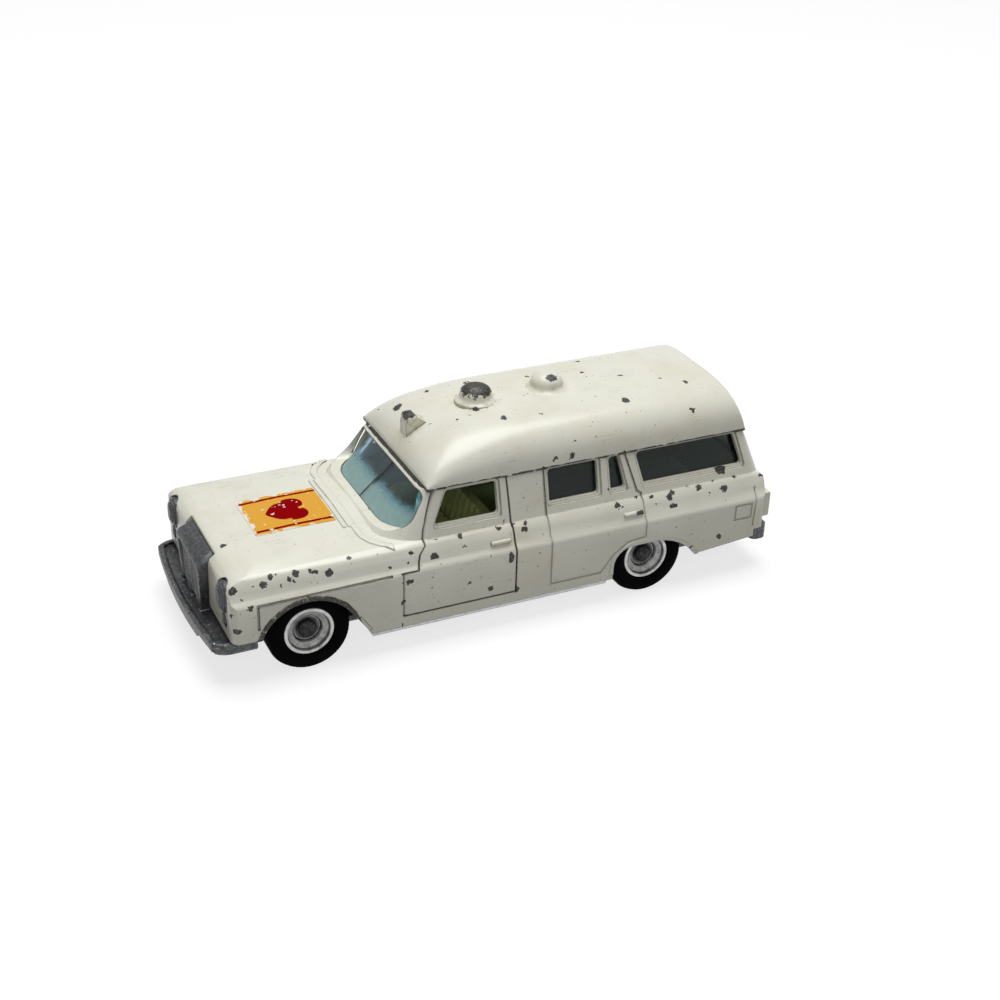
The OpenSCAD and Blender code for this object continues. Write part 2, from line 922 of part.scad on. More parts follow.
module tail_lamp() {
    translate([tail_x, half - tail_lamp_inset, crease_z - tail_lamp_drop])
        intersection() {
            sphere(r = tail_lamp_proud + 1.7);
            block(
                [-tail_lamp_proud, -tail_lamp_half.x, -tail_lamp_half.y],
                [2, tail_lamp_half.x, tail_lamp_half.y]
            );
        }
}

rail_w = 2.7;
rail_ends = [2, 2.4];
lug_ends = [1.2, 2.2];
lug_w = 1.5;
lug_h = 1.6;

// Rail under the door that holds its lower peg
module sill_rail() {
    block(
        [door_rear_x - rail_ends[0], half - 0.1 - rail_w, sill_z],
        [hinge_x + rail_ends[1], half - 0.1, door_low - panel_gap]
    );
}

// Lug above the hinge step that holds the upper peg
module hinge_lug() {
    block(
        [hinge_x - lug_ends[0], hinge_y + 0.1 - lug_w, door_step_z + panel_gap],
        [hinge_x + lug_ends[1], hinge_y + 0.1, crease_z + lug_h]
    );
}

module load_sill() {
    block(
        [tail_x + wall / 2, wall / 2 - half, tailgate_low - 1.9],
        [rear_rivet_x + post_r, half - wall / 2, tailgate_low - 0.8]
    );
}

module rivet_post(x, top) {
    translate([x, 0, sill_z]) cylinder(r = post_r, h = top - sill_z);
}

module rivet_bore(x) {
    translate([x, 0, sill_z - 1]) cylinder(r = rivet_d / 2 + play, h = rivet_seat + 1.1);
}

// Upright oval of a head lamp, in y and z
module oval(r) {
    for (z = [-lamp_tall / 2, lamp_tall / 2]) {
        translate([lamp_y, lamp_z + z]) circle(r = r);
    }
    translate([lamp_y - r, lamp_z - lamp_tall / 2]) square([2 * r, lamp_tall]);
}

module nose_openings() {
    grille_low = bumper_top;
    along_x(grille_back - panel_gap, front_x + 1)
        polygon([
            [grille_half + panel_gap, grille_top + panel_gap],
            [-grille_half - panel_gap, grille_top + panel_gap],
            [-grille_half + 0.8, grille_low],
            [grille_half - 0.8, grille_low]
        ]);
    both_sides() {
        along_x(nose_x - 3, front_x + 1) oval(lamp_d / 2 + panel_gap);
        rod_x(lamp_y + 0.5, lamp_z - 4.3, lamp_d / 4 + panel_gap, nose_x - 3, front_x + 1);
    }
}

cowl_lip = 0.16;
lip_in = 1;
lip_out = 1.7;
vent_run = [2.3, 3.2];
vent_w = 0.5;
vent_inset = 1.4;

// Lip round the foot of the windscreen and two ridges of the vent ahead of it
module cowl_ridges() {
    intersection() {
        union() {
            difference() {
                linear_extrude(roof_z) polygon(green_outline(belt_z, -lip_out));
                linear_extrude(roof_z) polygon(green_outline(belt_z, -lip_in));
                block([-beyond - front_x, -half, -1], [hinge_x + 1.6, half, roof_z + 1]);
            }
            for (x = vent_run) {
                block(
                    [cowl_x + x, vent_inset - panel_half, belt_z - 1],
                    [cowl_x + x + vent_w, panel_half - vent_inset, roof_z]
                );
            }
        }
        lower_solid(-cowl_lip);
        block([hinge_x, -half, belt_z - 1], [front_x, half, roof_z]);
    }
}

arch_proud = 0.2;

module arch_lips() {
    intersection() {
        both_sides()
            along_y(half - wall, half + arch_proud) {
                difference() {
                    union() {
                        front_arch(arch_lip);
                        rear_arch(arch_lip);
                    }
                    translate([rear_x, -1]) square([overall_length, sill_z + 2]);
                }
            }
        lower_solid(-arch_proud);
    }
}

module wheel_wells() {
    well = tyre_r + 0.6;
    for (x = [front_axle_x, rear_axle_x]) {
        both_sides() rod_y(x, axle_z, well, tyre_face - tyre_w - 1, tyre_face + 0.25);
    }
}

module body_shell() {
    color("ivory")
        difference() {
            union() {
                difference() {
                    union() {
                        body_outer();
                        arch_lips();
                        cowl_ridges();
                    }
                    body_cavity();
                    scribe_cuts();
                    frame_cuts([rear_door_window(), vent_window(), quarter_window()]);
                    nose_openings();
                }
                dome(dome_1_x, dome_1_d);
                dome(dome_1_x - dome_pitch, dome_2_d);
                spot_lamp();
                both_sides() {
                    tail_lamp();
                    sill_rail();
                    hinge_lug();
                    handle(rear_axle_x + 1.4);
                }
                load_sill();
                rivet_post(front_rivet_x, bonnet_z - wall / 2);
                rivet_post(rear_rivet_x, tailgate_low - 1);
            }
            both_sides() {
                door_room(panel_gap);
                door_pegs(peg_r + play, play);
            }
            window_cuts([rear_door_window(), vent_window(), quarter_window()]);
            screen_cut();
            tailgate_opening();
            tailgate_pegs(tailgate_peg_r + play, tailgate_half + tailgate_peg + play);
            both_sides() along_y(base_half, half + 1) under_edge();
            along_y(-half - 1, half + 1) base_room();
            wheel_wells();
            rivet_bore(front_rivet_x);
            rivet_bore(rear_rivet_x);
        }
}

// Clear mouldings

module window_unit() {
    outside = wall + glass_gap;
    link_top = gutter_z - 0.2;
    link_half = gutter_half / 2;
    low = window_low - 1;
    color("teal", 0.6)
        difference() {
            intersection() {
                greenhouse(outside, belt_z);
                block([rear_x, -half, low], [front_x, half, link_top]);
            }
            intersection() {
                greenhouse(outside + glass_t, belt_z - 1);
                block([rear_x, -half, 0], [front_x, half, link_top - glass_t]);
            }
            both_sides()
                along_y(link_half, half)
                    polygon([
                        [door_rear_x - skin, 0],
                        [hinge_x - 3, 0],
                        [hinge_x - 3, belt_z],
                        [header_x - 1.4, gutter_z],
                        [door_rear_x - skin, gutter_z]
                    ]);
            along_y(-half, half)
                polygon([
                    [tail_at(0) + wall + 2 * glass_gap, 0],
                    [tail_at(roof_z) + wall + 2 * glass_gap, roof_z],
                    [rear_x, roof_z],
                    [rear_x, 0]
                ]);
            along_y(-tailgate_half - panel_gap, tailgate_half + panel_gap)
                polygon([
                    [tail_at(0) + wall + 2 * glass_t + skin, 0],
                    [tail_at(roof_z) + wall + 2 * glass_t + skin, roof_z],
                    [rear_x, roof_z],
                    [rear_x, 0]
                ]);
        }
}

// Inside

steering_y = seat_half / 2;
steering_z = 15.4;
steering_tilt = 70;
column_r = 0.5;
column_l = 4;
column_seat = 1;
seat_lean = 14;
rib_h = 0.4;
back_t = 1.8;
cushion_l = 9;
cushion_t = 1.4;
seat_overhang = 0.4;
seat_root = 0.7;

module steering_place() {
    translate([dash_x, steering_y, steering_z])
        rotate([0, -steering_tilt, 0]) children();
}

// A flat strip from y = -w to w with rounded ribs on its +X side
function ribbed_strip(t, w) =
    let (pitch = 2 * w / seat_ribs)
        concat(
            [[-t, w], [-t, -w]],
            [for (i = [0:seat_ribs - 1])
                let (y = pitch * i - w)
                    each [
                        [0, y + 0.1 * pitch],
                        [rib_h * 0.8, y + 0.25 * pitch],
                        [rib_h, y + 0.5 * pitch],
                        [rib_h * 0.8, y + 0.75 * pitch],
                        [0, y + 0.9 * pitch]
                    ]]
        );

module bench() {
    cushion_top = floor_top + cushion_h;
    plinth_half = seat_half - seat_overhang;
    back_root = cushion_top - cushion_t - seat_root;
    back_h = seat_top - back_root;
    front = seat_x + back_h * tan(seat_lean);
    cushion_x = front + rib_h;
    block(
        [seat_x - 1, -plinth_half, floor_top - floor_t / 2],
        [seat_x + cushion_l - seat_overhang, plinth_half, cushion_top - cushion_t]
    );
    translate([cushion_x, 0, cushion_top - rib_h])
        rotate([0, 90, 0])
            mirror([1, 0, 0])
                linear_extrude(seat_x + cushion_l - cushion_x)
                    polygon(ribbed_strip(cushion_t, seat_half));
    translate([front, 0, back_root])
        rotate([0, -seat_lean, 0])
            linear_extrude(back_h / cos(seat_lean))
                polygon(ribbed_strip(back_t, seat_half - seat_overhang / 2));
}

module interior_moulding() {
    floor_half = tyre_face - tyre_w - 1;
    color("darkkhaki")
        difference() {
            union() {
                block(
                    [tail_x + wall + 2, -floor_half, floor_z],
                    [dash_x + dash_t - 0.5, floor_half, floor_top]
                );
                bench();
                along_y(-seat_half, seat_half)
                    polygon([
                        [dash_x, floor_top - floor_t / 2],
                        [dash_x + dash_t, floor_top - floor_t / 2],
                        [dash_x + dash_t, belt_z - 1.8],
                        [dash_x + dash_t / 3, belt_z - 1.6],
                        [dash_x, belt_z - 2.4]
                    ]);
            }
            steering_place()
                translate([0, 0, -column_seat - play])
                    cylinder(r = column_r + play, h = column_seat + 1);
        }
}

module steering_wheel() {
    ring_r = steering_d / 2;
    color("darkkhaki")
        steering_place() {
            translate([0, 0, -column_seat]) cylinder(r = column_r, h = column_seat + column_l);
            translate([0, 0, column_l - 0.4]) cylinder(r = 2 * column_r, h = 0.6);
            translate([0, 0, column_l])
                rotate_extrude() translate([ring_r - 0.35, 0]) circle(r = 0.35);
            for (a = [90, 210, 330]) {
                rotate(a) block([0, -0.25, column_l - 0.2], [ring_r - 0.35, 0.25, column_l + 0.2]);
            }
        }
}

stretcher_inset = 4.5;
runner_h = 1.2;
tray_h = 1.6;
tray_rim = 0.7;
mattress_h = 1.4;
pillow_l = 5.2;
pillow_h = 1.6;

module stretcher() {
    x0 = tail_x + wall + stretcher_inset;
    x1 = x0 + stretcher_l;
    w = stretcher_w / 2;
    tray_z = floor_top + runner_h - 0.2;
    rim_z = tray_z + tray_h;
    bed_z = rim_z - tray_rim / 2;
    mattress_z = bed_z - tray_rim / 4;
    pillow_z = mattress_z + mattress_h - 0.4;
    pillow_x = x1 - 2 * tray_rim;
    color("gainsboro") {
        both_sides()
            block(
                [x0 + 2 * runner_h, w - 2 * runner_h, floor_top],
                [x1 - 2 * runner_h, w - runner_h, floor_top + runner_h]
            );
        along_x(x0, x1)
            polygon([
                [-w, tray_z],
                [w, tray_z],
                [w, rim_z],
                [w - tray_rim, rim_z],
                [w - tray_rim - 0.2, bed_z],
                [tray_rim + 0.2 - w, bed_z],
                [tray_rim - w, rim_z],
                [-w, rim_z]
            ]);
        along_x(x0 + tray_rim, x1 - tray_rim)
            polygon(rounded([
                [runner_h - w, mattress_z],
                [w - runner_h, mattress_z],
                [w - runner_h, mattress_z + mattress_h],
                [runner_h - w, mattress_z + mattress_h]
            ], mattress_h / 2.4));
        along_y(2 * runner_h - w, w - 2 * runner_h)
            polygon(rounded([
                [pillow_x - pillow_l, pillow_z],
                [pillow_x, pillow_z],
                [pillow_x, pillow_z + pillow_h],
                [pillow_x - pillow_l, pillow_z + 0.75 * pillow_h]
            ], pillow_h / 2.8));
    }
}

module bonnet_label() {
    color("goldenrod")
        difference() {
            intersection() {
                lower_solid(-label_t);
                block(
                    [label_x - label_l / 2, -label_w / 2, belt_z - 1],
                    [label_x + label_l / 2, label_w / 2, bonnet_z + 1]
                );
            }
            lower_solid(0);
        }
}

// Base

module bearing_blocks() {
    for (x = [front_axle_x, rear_axle_x]) {
        both_sides()
            block(
                [x - axle_d - skin, base_half - 4, sill_z - skin],
                [x + axle_d + skin, base_half - 0.2, floor_z]
            );
    }
}

wheel_room = tyre_r + 1.2;
rail_lift = 0.3;

module floor_plate() {
    block([tail_x + 1, -base_half, base_z], [nose_x, base_half, sill_z]);
    block(
        [rear_axle_x + wheel_room, 0.4 - half, base_z + rail_lift],
        [front_axle_x - arch_skirt - 0.2, half - 0.4, sill_z]
    );
}

bumper_rim = 1;
bumper_scoop = 0.7;
bumper_corner = 4.4;
bumper_root = 3.2;
bumper_arm = 1.6;
bumper_edge = 0.5;
valance_half = 9.5;
valance_drop = 0.7;
valance_in = 0.3;

// Plan of the front bumper, set in by t
module bumper_plan(t) {
    side = half - bumper_inset - t;
    bow_r = (side * side + bumper_bow * bumper_bow) / (2 * bumper_bow);
    intersection() {
        polygon(rounded([
            [front_x - t, -side], [front_x - t, side],
            [front_axle_x, side], [front_axle_x, -side]
        ], bumper_corner - t, 8));
        translate([front_x - t - bow_r, 0]) circle(r = bow_r, $fn = 240);
    }
}

module front_bumper() {
    arm_x = front_axle_x + wheel_room + 0.4;
    inner = half - bumper_inset - bumper_arm;
    difference() {
        union() {
            translate([0, 0, bumper_low]) linear_extrude(2 * bumper_edge) bumper_plan(bumper_edge);
            translate([0, 0, bumper_low + bumper_edge])
                linear_extrude(bumper_top - bumper_low - bumper_edge) bumper_plan(0);
        }
        block([arm_x - beyond, -beyond, 0], [arm_x, beyond, roof_z]);
        block([arm_x - 1, -inner, bumper_low - 1], [nose_x - bumper_root, inner, roof_z]);
        translate([0, 0, bumper_top - bumper_scoop])
            linear_extrude(2 * bumper_scoop) bumper_plan(bumper_rim);
    }
    block([nose_x - bumper_root, -base_half, base_z], [nose_x + 1, base_half, bumper_low + 1]);
    intersection() {
        translate([0, 0, bumper_low - valance_drop]) linear_extrude(valance_drop + 1) bumper_plan(valance_in);
        block([nose_x, -valance_half, 0], [front_x, valance_half, bumper_top]);
    }
}

module rear_bumper() {
    translate([0, 0, bumper_low - 0.2])
        linear_extrude(bumper_top - bumper_low + 0.6)
            polygon(rounded([
                [tail_x + wall + 0.4, 1 - half], [tail_x + wall + 0.4, half - 1],
                [rear_x, half - 1], [rear_x, 1 - half]
            ], 1.2, 6));
    block([tail_x, 4 - base_half, base_z], [rear_rivet_x - post_r, base_half - 4, bumper_low + 1]);
}

grille_face = nose_x + 1.8;
grille_frame = 0.9;
grille_back = nose_x - 3.3;
lamp_back = 2.7;
lamp_proud = 0.95;

function grille_front(less, top) = [
    [grille_half - less, top - 1.1],
    [grille_half - 0.9 - less, top],
    [0.9 + less - grille_half, top],
    [less - grille_half, top - 1.1],
    [1 + less - grille_half, bumper_top - 1],
    [grille_half - 1 - less, bumper_top - 1]
];

module grille() {
    back = grille_back;
    pitch = (grille_top - 2.4 - bumper_top) / grille_bars;
    difference() {
        intersection() {
            along_y(-half, half)
                polygon([
                    [back, bumper_top - 1],
                    [grille_face - 0.3, bumper_top - 1],
                    [grille_face, grille_top - 1.9],
                    [grille_face - 0.4, grille_top - 1.1],
                    [nose_x - 0.9, grille_top],
                    [back, grille_top]
                ]);
            along_x(back, front_x) polygon(grille_front(0, grille_top));
        }
        along_x(grille_face - 0.8, front_x) polygon(grille_front(grille_frame, grille_top - 2.2));
    }
    intersection() {
        union() {
            for (i = [0:grille_bars - 1]) {
                z = bumper_top + pitch * (i + 0.5);
                block([grille_face - 1.2, -grille_half, z], [grille_face - 0.5, grille_half, z + pitch / 2]);
            }
            block([grille_face - 1.2, -0.4, bumper_top - 1], [grille_face - 0.35, 0.4, grille_top - 1.6]);
        }
        along_x(back, front_x) polygon(grille_front(grille_frame / 2, grille_top - 1.8));
    }
}

// A lamp along X that stands proud of the nose by its dome
module lamp(y, z, r, proud) {
    shank = lamp_back + proud - 0.5 * r;
    translate([nose_x - lamp_back, y, z])
        rotate([0, 90, 0])
            rotate_extrude()
                polygon([
                    [0, 0],
                    [r, 0],
                    [r, shank],
                    [0.9 * r, shank + 0.24 * r],
                    [0.68 * r, shank + 0.4 * r],
                    [0.38 * r, shank + 0.48 * r],
                    [0, shank + 0.5 * r]
                ]);
}

module head_lamps() {
    r = lamp_d / 2;
    back = nose_x - lamp_back - 0.7;
    block([back, -lamp_y - 1.3, bumper_top - 1.6], [back + 1.6, lamp_y + 1.3, lamp_z + 1.2]);
    both_sides() {
        for (step = [[0, 0], [0.3, 0.4], [0.75, 0.7], [1.2, 0.85]]) {
            along_x(nose_x - lamp_back, nose_x + step.y) oval(r - step.x);
        }
        lamp(lamp_y + 0.5, lamp_z - 4.3, r / 2, lamp_proud / 3);
    }
}

module base_plate() {
    color("slategray")
        difference() {
            union() {
                floor_plate();
                bearing_blocks();
                front_bumper();
                rear_bumper();
                grille();
                head_lamps();
            }
            for (x = [front_axle_x, rear_axle_x]) {
                rod_y(x, axle_z, axle_d / 2 + play, -half, half);
            }
            for (x = [front_rivet_x, rear_rivet_x]) {
                translate([x, 0, 0]) cylinder(r = rivet_d / 2 + play, h = sill_z + 1);
                translate([x, 0, 0]) cylinder(r = rivet_head_d / 2 + 2 * play, h = base_z + 0.7 + play);
            }
        }
}

module base_rivets() {
    color("silver")
        for (x = [front_rivet_x, rear_rivet_x]) {
            translate([x, 0, base_z + 0.1])
                difference() {
                    union() {
                        cylinder(r = rivet_head_d / 2, h = 0.6);
                        cylinder(r = rivet_d / 2, h = sill_z - base_z + rivet_seat - 0.2);
                    }
                    translate([0, 0, -1]) cylinder(r = rivet_d / 4, h = 2);
                }
        }
}

// Running gear

axle_head_in = 1.5;
axle_head_t = 1;

module axle(x) {
    head = axle_head_d / 2;
    face = tyre_face - axle_head_in;
    color("dimgray") {
        rod_y(x, axle_z, axle_d / 2, -face - 0.1, face + 0.1);
        both_sides()
            translate([x, 0, axle_z])
                rotate([-90, 0, 0])
                    rotate_extrude()
                        polygon([
                            [0, face], [head, face], [head, face + 0.3 * axle_head_t],
                            [head * 0.75, face + 0.75 * axle_head_t],
                            [head * 0.4, face + 0.95 * axle_head_t], [0, face + axle_head_t]
                        ]);
    }
}

module front_axle() {
    axle(front_axle_x);
}

module rear_axle() {
    axle(rear_axle_x);
}

hub_rim = 0.75;
hub_step = 1.9;
hub_well = 2.2;
hub_well_depth = 1.65;
hub_lip = 0.3;

module hub(x) {
    r = hub_d / 2;
    bore = axle_d / 2 + play;
    color("silver")
        translate([x, 0, axle_z])
            rotate([-90, 0, 0])
                rotate_extrude()
                    polygon([
                        [bore, tyre_face - tyre_w + 0.4], [r, tyre_face - tyre_w + 0.4],
                        [r, tyre_face - hub_lip - 0.2], [r - 0.2, tyre_face - hub_lip],
                        [r - hub_rim, tyre_face - hub_lip], [r - hub_rim - 0.25, tyre_face - 0.8],
                        [r - hub_step, tyre_face - 1.1], [r - hub_well, tyre_face - hub_well_depth],
                        [bore, tyre_face - hub_well_depth]
                    ]);
}

tyre_round = 0.8;
tyre_ease = 0.25;
bead = 0.5;

module tyre(x) {
    r = hub_d / 2 + 0.02;
    back = tyre_face - tyre_w;
    color("black")
        translate([x, 0, axle_z])
            rotate([-90, 0, 0])
                rotate_extrude()
                    polygon([
                        [r, back + tyre_ease], [r + bead, back], [tyre_r - tyre_round, back],
                        [tyre_r - tyre_ease, back + tyre_ease], [tyre_r, back + tyre_round],
                        [tyre_r, tyre_face - tyre_round], [tyre_r - tyre_ease, tyre_face - tyre_ease],
                        [tyre_r - tyre_round, tyre_face], [r + bead, tyre_face], [r, tyre_face - tyre_ease]
                    ]);
}

module front_left_hub() {
    hub(front_axle_x);
}

module front_left_tyre() {
    tyre(front_axle_x);
}

module front_right_hub() {
    mirror([0, 1, 0]) hub(front_axle_x);
}

module front_right_tyre() {
    mirror([0, 1, 0]) tyre(front_axle_x);
}

module rear_left_hub() {
    hub(rear_axle_x);
}

module rear_left_tyre() {
    tyre(rear_axle_x);
}

module rear_right_hub() {
    mirror([0, 1, 0]) hub(rear_axle_x);
}

module rear_right_tyre() {
    mirror([0, 1, 0]) tyre(rear_axle_x);
}

body_shell();
left_door();
right_door();
tailgate();
tailgate_window();
window_unit();
interior_moulding();
steering_wheel();
stretcher();
base_plate();
front_axle();
rear_axle();
front_left_hub();
front_left_tyre();
front_right_hub();
front_right_tyre();
rear_left_hub();
rear_left_tyre();
rear_right_hub();
rear_right_tyre();
base_rivets();
bonnet_label();
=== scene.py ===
"""Toy ambulance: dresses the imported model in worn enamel, bare casting, tinted glazing and rubber."""

import logging
import math
from dataclasses import dataclass
from enum import Enum
from typing import Optional, Sequence, Union

import bmesh
import bpy
from mathutils import Matrix, Vector


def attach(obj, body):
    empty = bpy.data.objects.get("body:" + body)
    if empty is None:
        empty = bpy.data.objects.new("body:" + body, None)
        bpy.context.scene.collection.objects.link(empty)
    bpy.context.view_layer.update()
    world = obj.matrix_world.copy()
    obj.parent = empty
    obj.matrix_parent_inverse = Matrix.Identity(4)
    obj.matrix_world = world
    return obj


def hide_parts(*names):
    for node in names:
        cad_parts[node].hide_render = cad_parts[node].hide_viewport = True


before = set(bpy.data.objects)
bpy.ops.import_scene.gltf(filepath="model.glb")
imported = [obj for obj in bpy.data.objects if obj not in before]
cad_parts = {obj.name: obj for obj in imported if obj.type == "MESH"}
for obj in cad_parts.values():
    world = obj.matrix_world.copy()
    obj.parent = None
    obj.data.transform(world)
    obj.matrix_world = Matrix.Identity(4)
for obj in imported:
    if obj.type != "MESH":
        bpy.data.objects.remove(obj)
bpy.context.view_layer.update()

LOG = logging.getLogger("toy_ambulance")
MM = 0.001
IMAGE_PIXELS = 1000

Node = bpy.types.Node
Socket = bpy.types.NodeSocket
Material = bpy.types.Material
Object = bpy.types.Object
BMesh = bmesh.types.BMesh
Value = Union[float, Sequence[float], Socket]
Colour = tuple[float, float, float]
Point = tuple[float, float, float]


class Body(Enum):
    """The rigid bodies that a piece can ride on."""

    SHELL = "body"
    LEFT_DOOR = "left_front_door"
    RIGHT_DOOR = "right_front_door"
    GATE = "rear_gate"
    FRONT_LEFT = "front_left_wheel"
    FRONT_RIGHT = "front_right_wheel"
    REAR_LEFT = "rear_left_wheel"
    REAR_RIGHT = "rear_right_wheel"


class Graph:
    """Adds nodes to one node tree and joins them."""

    def __init__(self, tree: bpy.types.NodeTree) -> None:
        """Keeps the tree that nodes go into."""
        self.tree = tree

    def feed(self, socket: Socket, value: Value) -> None:
        """Sets a socket to a constant, or links another socket to it.

        Args:
            socket: The input to fill.
            value: A constant or an output socket.
        """
        if isinstance(value, Socket):
            self.tree.links.new(value, socket)
        elif socket.type == "RGBA":
            socket.default_value = (*value, 1.0)
        else:
            socket.default_value = value

    def add(
        self,
        kind: str,
        inputs: Optional[dict[Union[str, int], Value]] = None,
        **settings: Union[str, int, bool],
    ) -> Node:
        """Adds one node.

        Args:
            kind: The node's type name.
            inputs: Values or sockets for its inputs.
            **settings: Properties of the node.

        Returns:
            The new node.
        """
        node = self.tree.nodes.new(kind)
        for name, value in settings.items():
            setattr(node, name, value)
        for key, value in (inputs or {}).items():
            self.feed(node.inputs[key], value)
        return node

    def math(self, operation: str, a: Value, b: Value = 0.0) -> Socket:
        """Returns the result of one scalar operation."""
        return self.add("ShaderNodeMath", {0: a, 1: b}, operation=operation).outputs[0]

    def times(self, a: Value, b: Value) -> Socket:
        """Returns the product of two numbers."""
        return self.math("MULTIPLY", a, b)

    def plus(self, a: Value, b: Value) -> Socket:
        """Returns the sum of two numbers."""
        return self.math("ADD", a, b)

    def minus(self, a: Value, b: Value) -> Socket:
        """Returns the first number less the second."""
        return self.math("SUBTRACT", a, b)

    def most(self, a: Value, b: Value) -> Socket:
        """Returns the larger of two numbers."""
        return self.math("MAXIMUM", a, b)

    def absolute(self, a: Value) -> Socket:
        """Returns a number without its sign."""
        return self.math("ABSOLUTE", a)

    def vector(self, operation: str, a: Value, b: Value = (0.0, 0.0, 0.0)) -> Socket:
        """Returns the vector result of one vector operation."""
        return self.add("ShaderNodeVectorMath", {0: a, 1: b}, operation=operation).outputs[0]

    def scaled(self, a: Value, factor: float) -> Socket:
        """Returns a vector times a number."""
        return self.add("ShaderNodeVectorMath", {0: a, "Scale": factor}, operation="SCALE").outputs[0]

    def length(self, a: Value) -> Socket:
        """Returns the length of a vector."""
        return self.add("ShaderNodeVectorMath", {0: a}, operation="LENGTH").outputs[1]

    def dot(self, a: Value, b: Value) -> Socket:
        """Returns the dot product of two vectors."""
        return self.add("ShaderNodeVectorMath", {0: a, 1: b}, operation="DOT_PRODUCT").outputs[1]

    def split(self, a: Value) -> tuple[Socket, Socket, Socket]:
        """Returns the three parts of a vector."""
        node = self.add("ShaderNodeSeparateXYZ", {0: a})
        return node.outputs[0], node.outputs[1], node.outputs[2]

    def step(self, value: Value, low: float, high: float) -> Socket:
        """Returns a smooth step from 0 at low to 1 at high."""
        inputs = {"Value": value, "From Min": low, "From Max": high}
        return self.add("ShaderNodeMapRange", inputs, interpolation_type="SMOOTHSTEP").outputs[0]

    def mix(self, factor: Value, a: Value, b: Value) -> Socket:
        """Returns colour a turning into colour b by the factor."""
        node = self.add("ShaderNodeMix", {0: factor, 6: a, 7: b}, data_type="RGBA")
        return node.outputs[2]

    def blend(self, factor: Value, a: Value, b: Value) -> Socket:
        """Returns number a turning into number b by the factor."""
        return self.add("ShaderNodeMix", {0: factor, 2: a, 3: b}, data_type="FLOAT").outputs[0]

    def noise(self, vector: Value, scale: Value, detail: float = 2.0, roughness: float = 0.5) -> Socket:
        """Returns the value of a noise texture."""
        inputs = {"Vector": vector, "Scale": scale, "Detail": detail, "Roughness": roughness}
        return self.add("ShaderNodeTexNoise", inputs).outputs[0]

    def colour_noise(self, vector: Value, scale: float, detail: float, roughness: float = 0.5) -> Socket:
        """Returns the colour of a noise texture."""
        inputs = {"Vector": vector, "Scale": scale, "Detail": detail, "Roughness": roughness}
        return self.add("ShaderNodeTexNoise", inputs).outputs["Color"]

    def gap(self, a: Value, b: Value) -> Socket:
        """Returns how far apart two numbers are."""
        return self.absolute(self.minus(a, b))

    def diagonal(self, a: Value, b: Value) -> Socket:
        """Returns the length of a flat vector with these two parts."""
        return self.math("SQRT", self.plus(self.times(a, a), self.times(b, b)))

    def object_mm(self) -> Socket:
        """Returns object coordinates in millimetres."""
        coordinates = self.add("ShaderNodeTexCoord")
        return self.scaled(coordinates.outputs["Object"], 1.0 / MM)


@dataclass(frozen=True)
class GroupPort:
    """One socket on the face of a node group."""

    name: str
    kind: str = "NodeSocketFloat"
    default: Value = 0.0


PLACE = GroupPort("Place", "NodeSocketVector", (0.0, 0.0, 0.0))


class EffectGroup:
    """A shader node group that is built once and placed in several materials."""

    name = "effect"
    takes: tuple[GroupPort, ...] = ()
    gives: tuple[GroupPort, ...] = ()

    def __init__(self) -> None:
        """Builds the group's tree."""
        self.tree = bpy.data.node_groups.new(self.name, "ShaderNodeTree")
        for ports, side in ((self.takes, "INPUT"), (self.gives, "OUTPUT")):
            for port in ports:
                socket = self.tree.interface.new_socket(port.name, in_out=side, socket_type=port.kind)
                if side == "INPUT":
                    socket.default_value = port.default
        graph = Graph(self.tree)
        entry = graph.add("NodeGroupInput")
        exit_node = graph.add("NodeGroupOutput")
        for key, socket in self.draw(graph, entry).items():
            graph.feed(exit_node.inputs[key], socket)

    def draw(self, graph: Graph, entry: Node) -> dict[str, Socket]:
        """Makes the nodes inside and returns the outputs by name."""
        raise NotImplementedError

    def place(self, graph: Graph, inputs: dict[str, Value]) -> Node:
        """Places the group in a material.

        Args:
            graph: The material's graph.
            inputs: Values for the group's inputs.

        Returns:
            The group node.
        """
        node = graph.add("ShaderNodeGroup")
        node.node_tree = self.tree
        for key, value in inputs.items():
            graph.feed(node.inputs[key], value)
        return node


class EdgeWear(EffectGroup):
    """Finds the edges of a casting and breaks them into worn stretches."""

    name = "edge_wear"
    takes = (
        PLACE,
        GroupPort("Reach", default=0.0004),
        GroupPort("Amount", default=0.5),
        GroupPort("Patch Size", default=0.2),
    )
    gives = (GroupPort("Edge"), GroupPort("Worn"), GroupPort("Rounded", "NodeSocketVector"))

    def draw(self, graph: Graph, entry: Node) -> dict[str, Socket]:
        """Compares the rounded normal with the true one and breaks the result up with noise."""
        rounded = graph.add("ShaderNodeBevel", {"Radius": entry.outputs["Reach"]}, samples=6)
        true_normal = graph.add("ShaderNodeNewGeometry").outputs["Normal"]
        turned = graph.minus(1.0, graph.dot(rounded.outputs[0], true_normal))
        edge = graph.step(turned, 0.01, 0.22)
        patches = graph.noise(entry.outputs["Place"], entry.outputs["Patch Size"], 3.0)
        crumbs = graph.noise(entry.outputs["Place"], 2.3, 4.0, 0.6)
        uneven = graph.plus(graph.times(patches, 1.6), graph.times(crumbs, 0.9))
        level = graph.plus(graph.minus(uneven, 1.75), entry.outputs["Amount"])
        worn = graph.step(graph.times(graph.plus(level, edge), edge), 0.34, 0.46)
        return {"Edge": edge, "Worn": worn, "Rounded": rounded.outputs[0]}


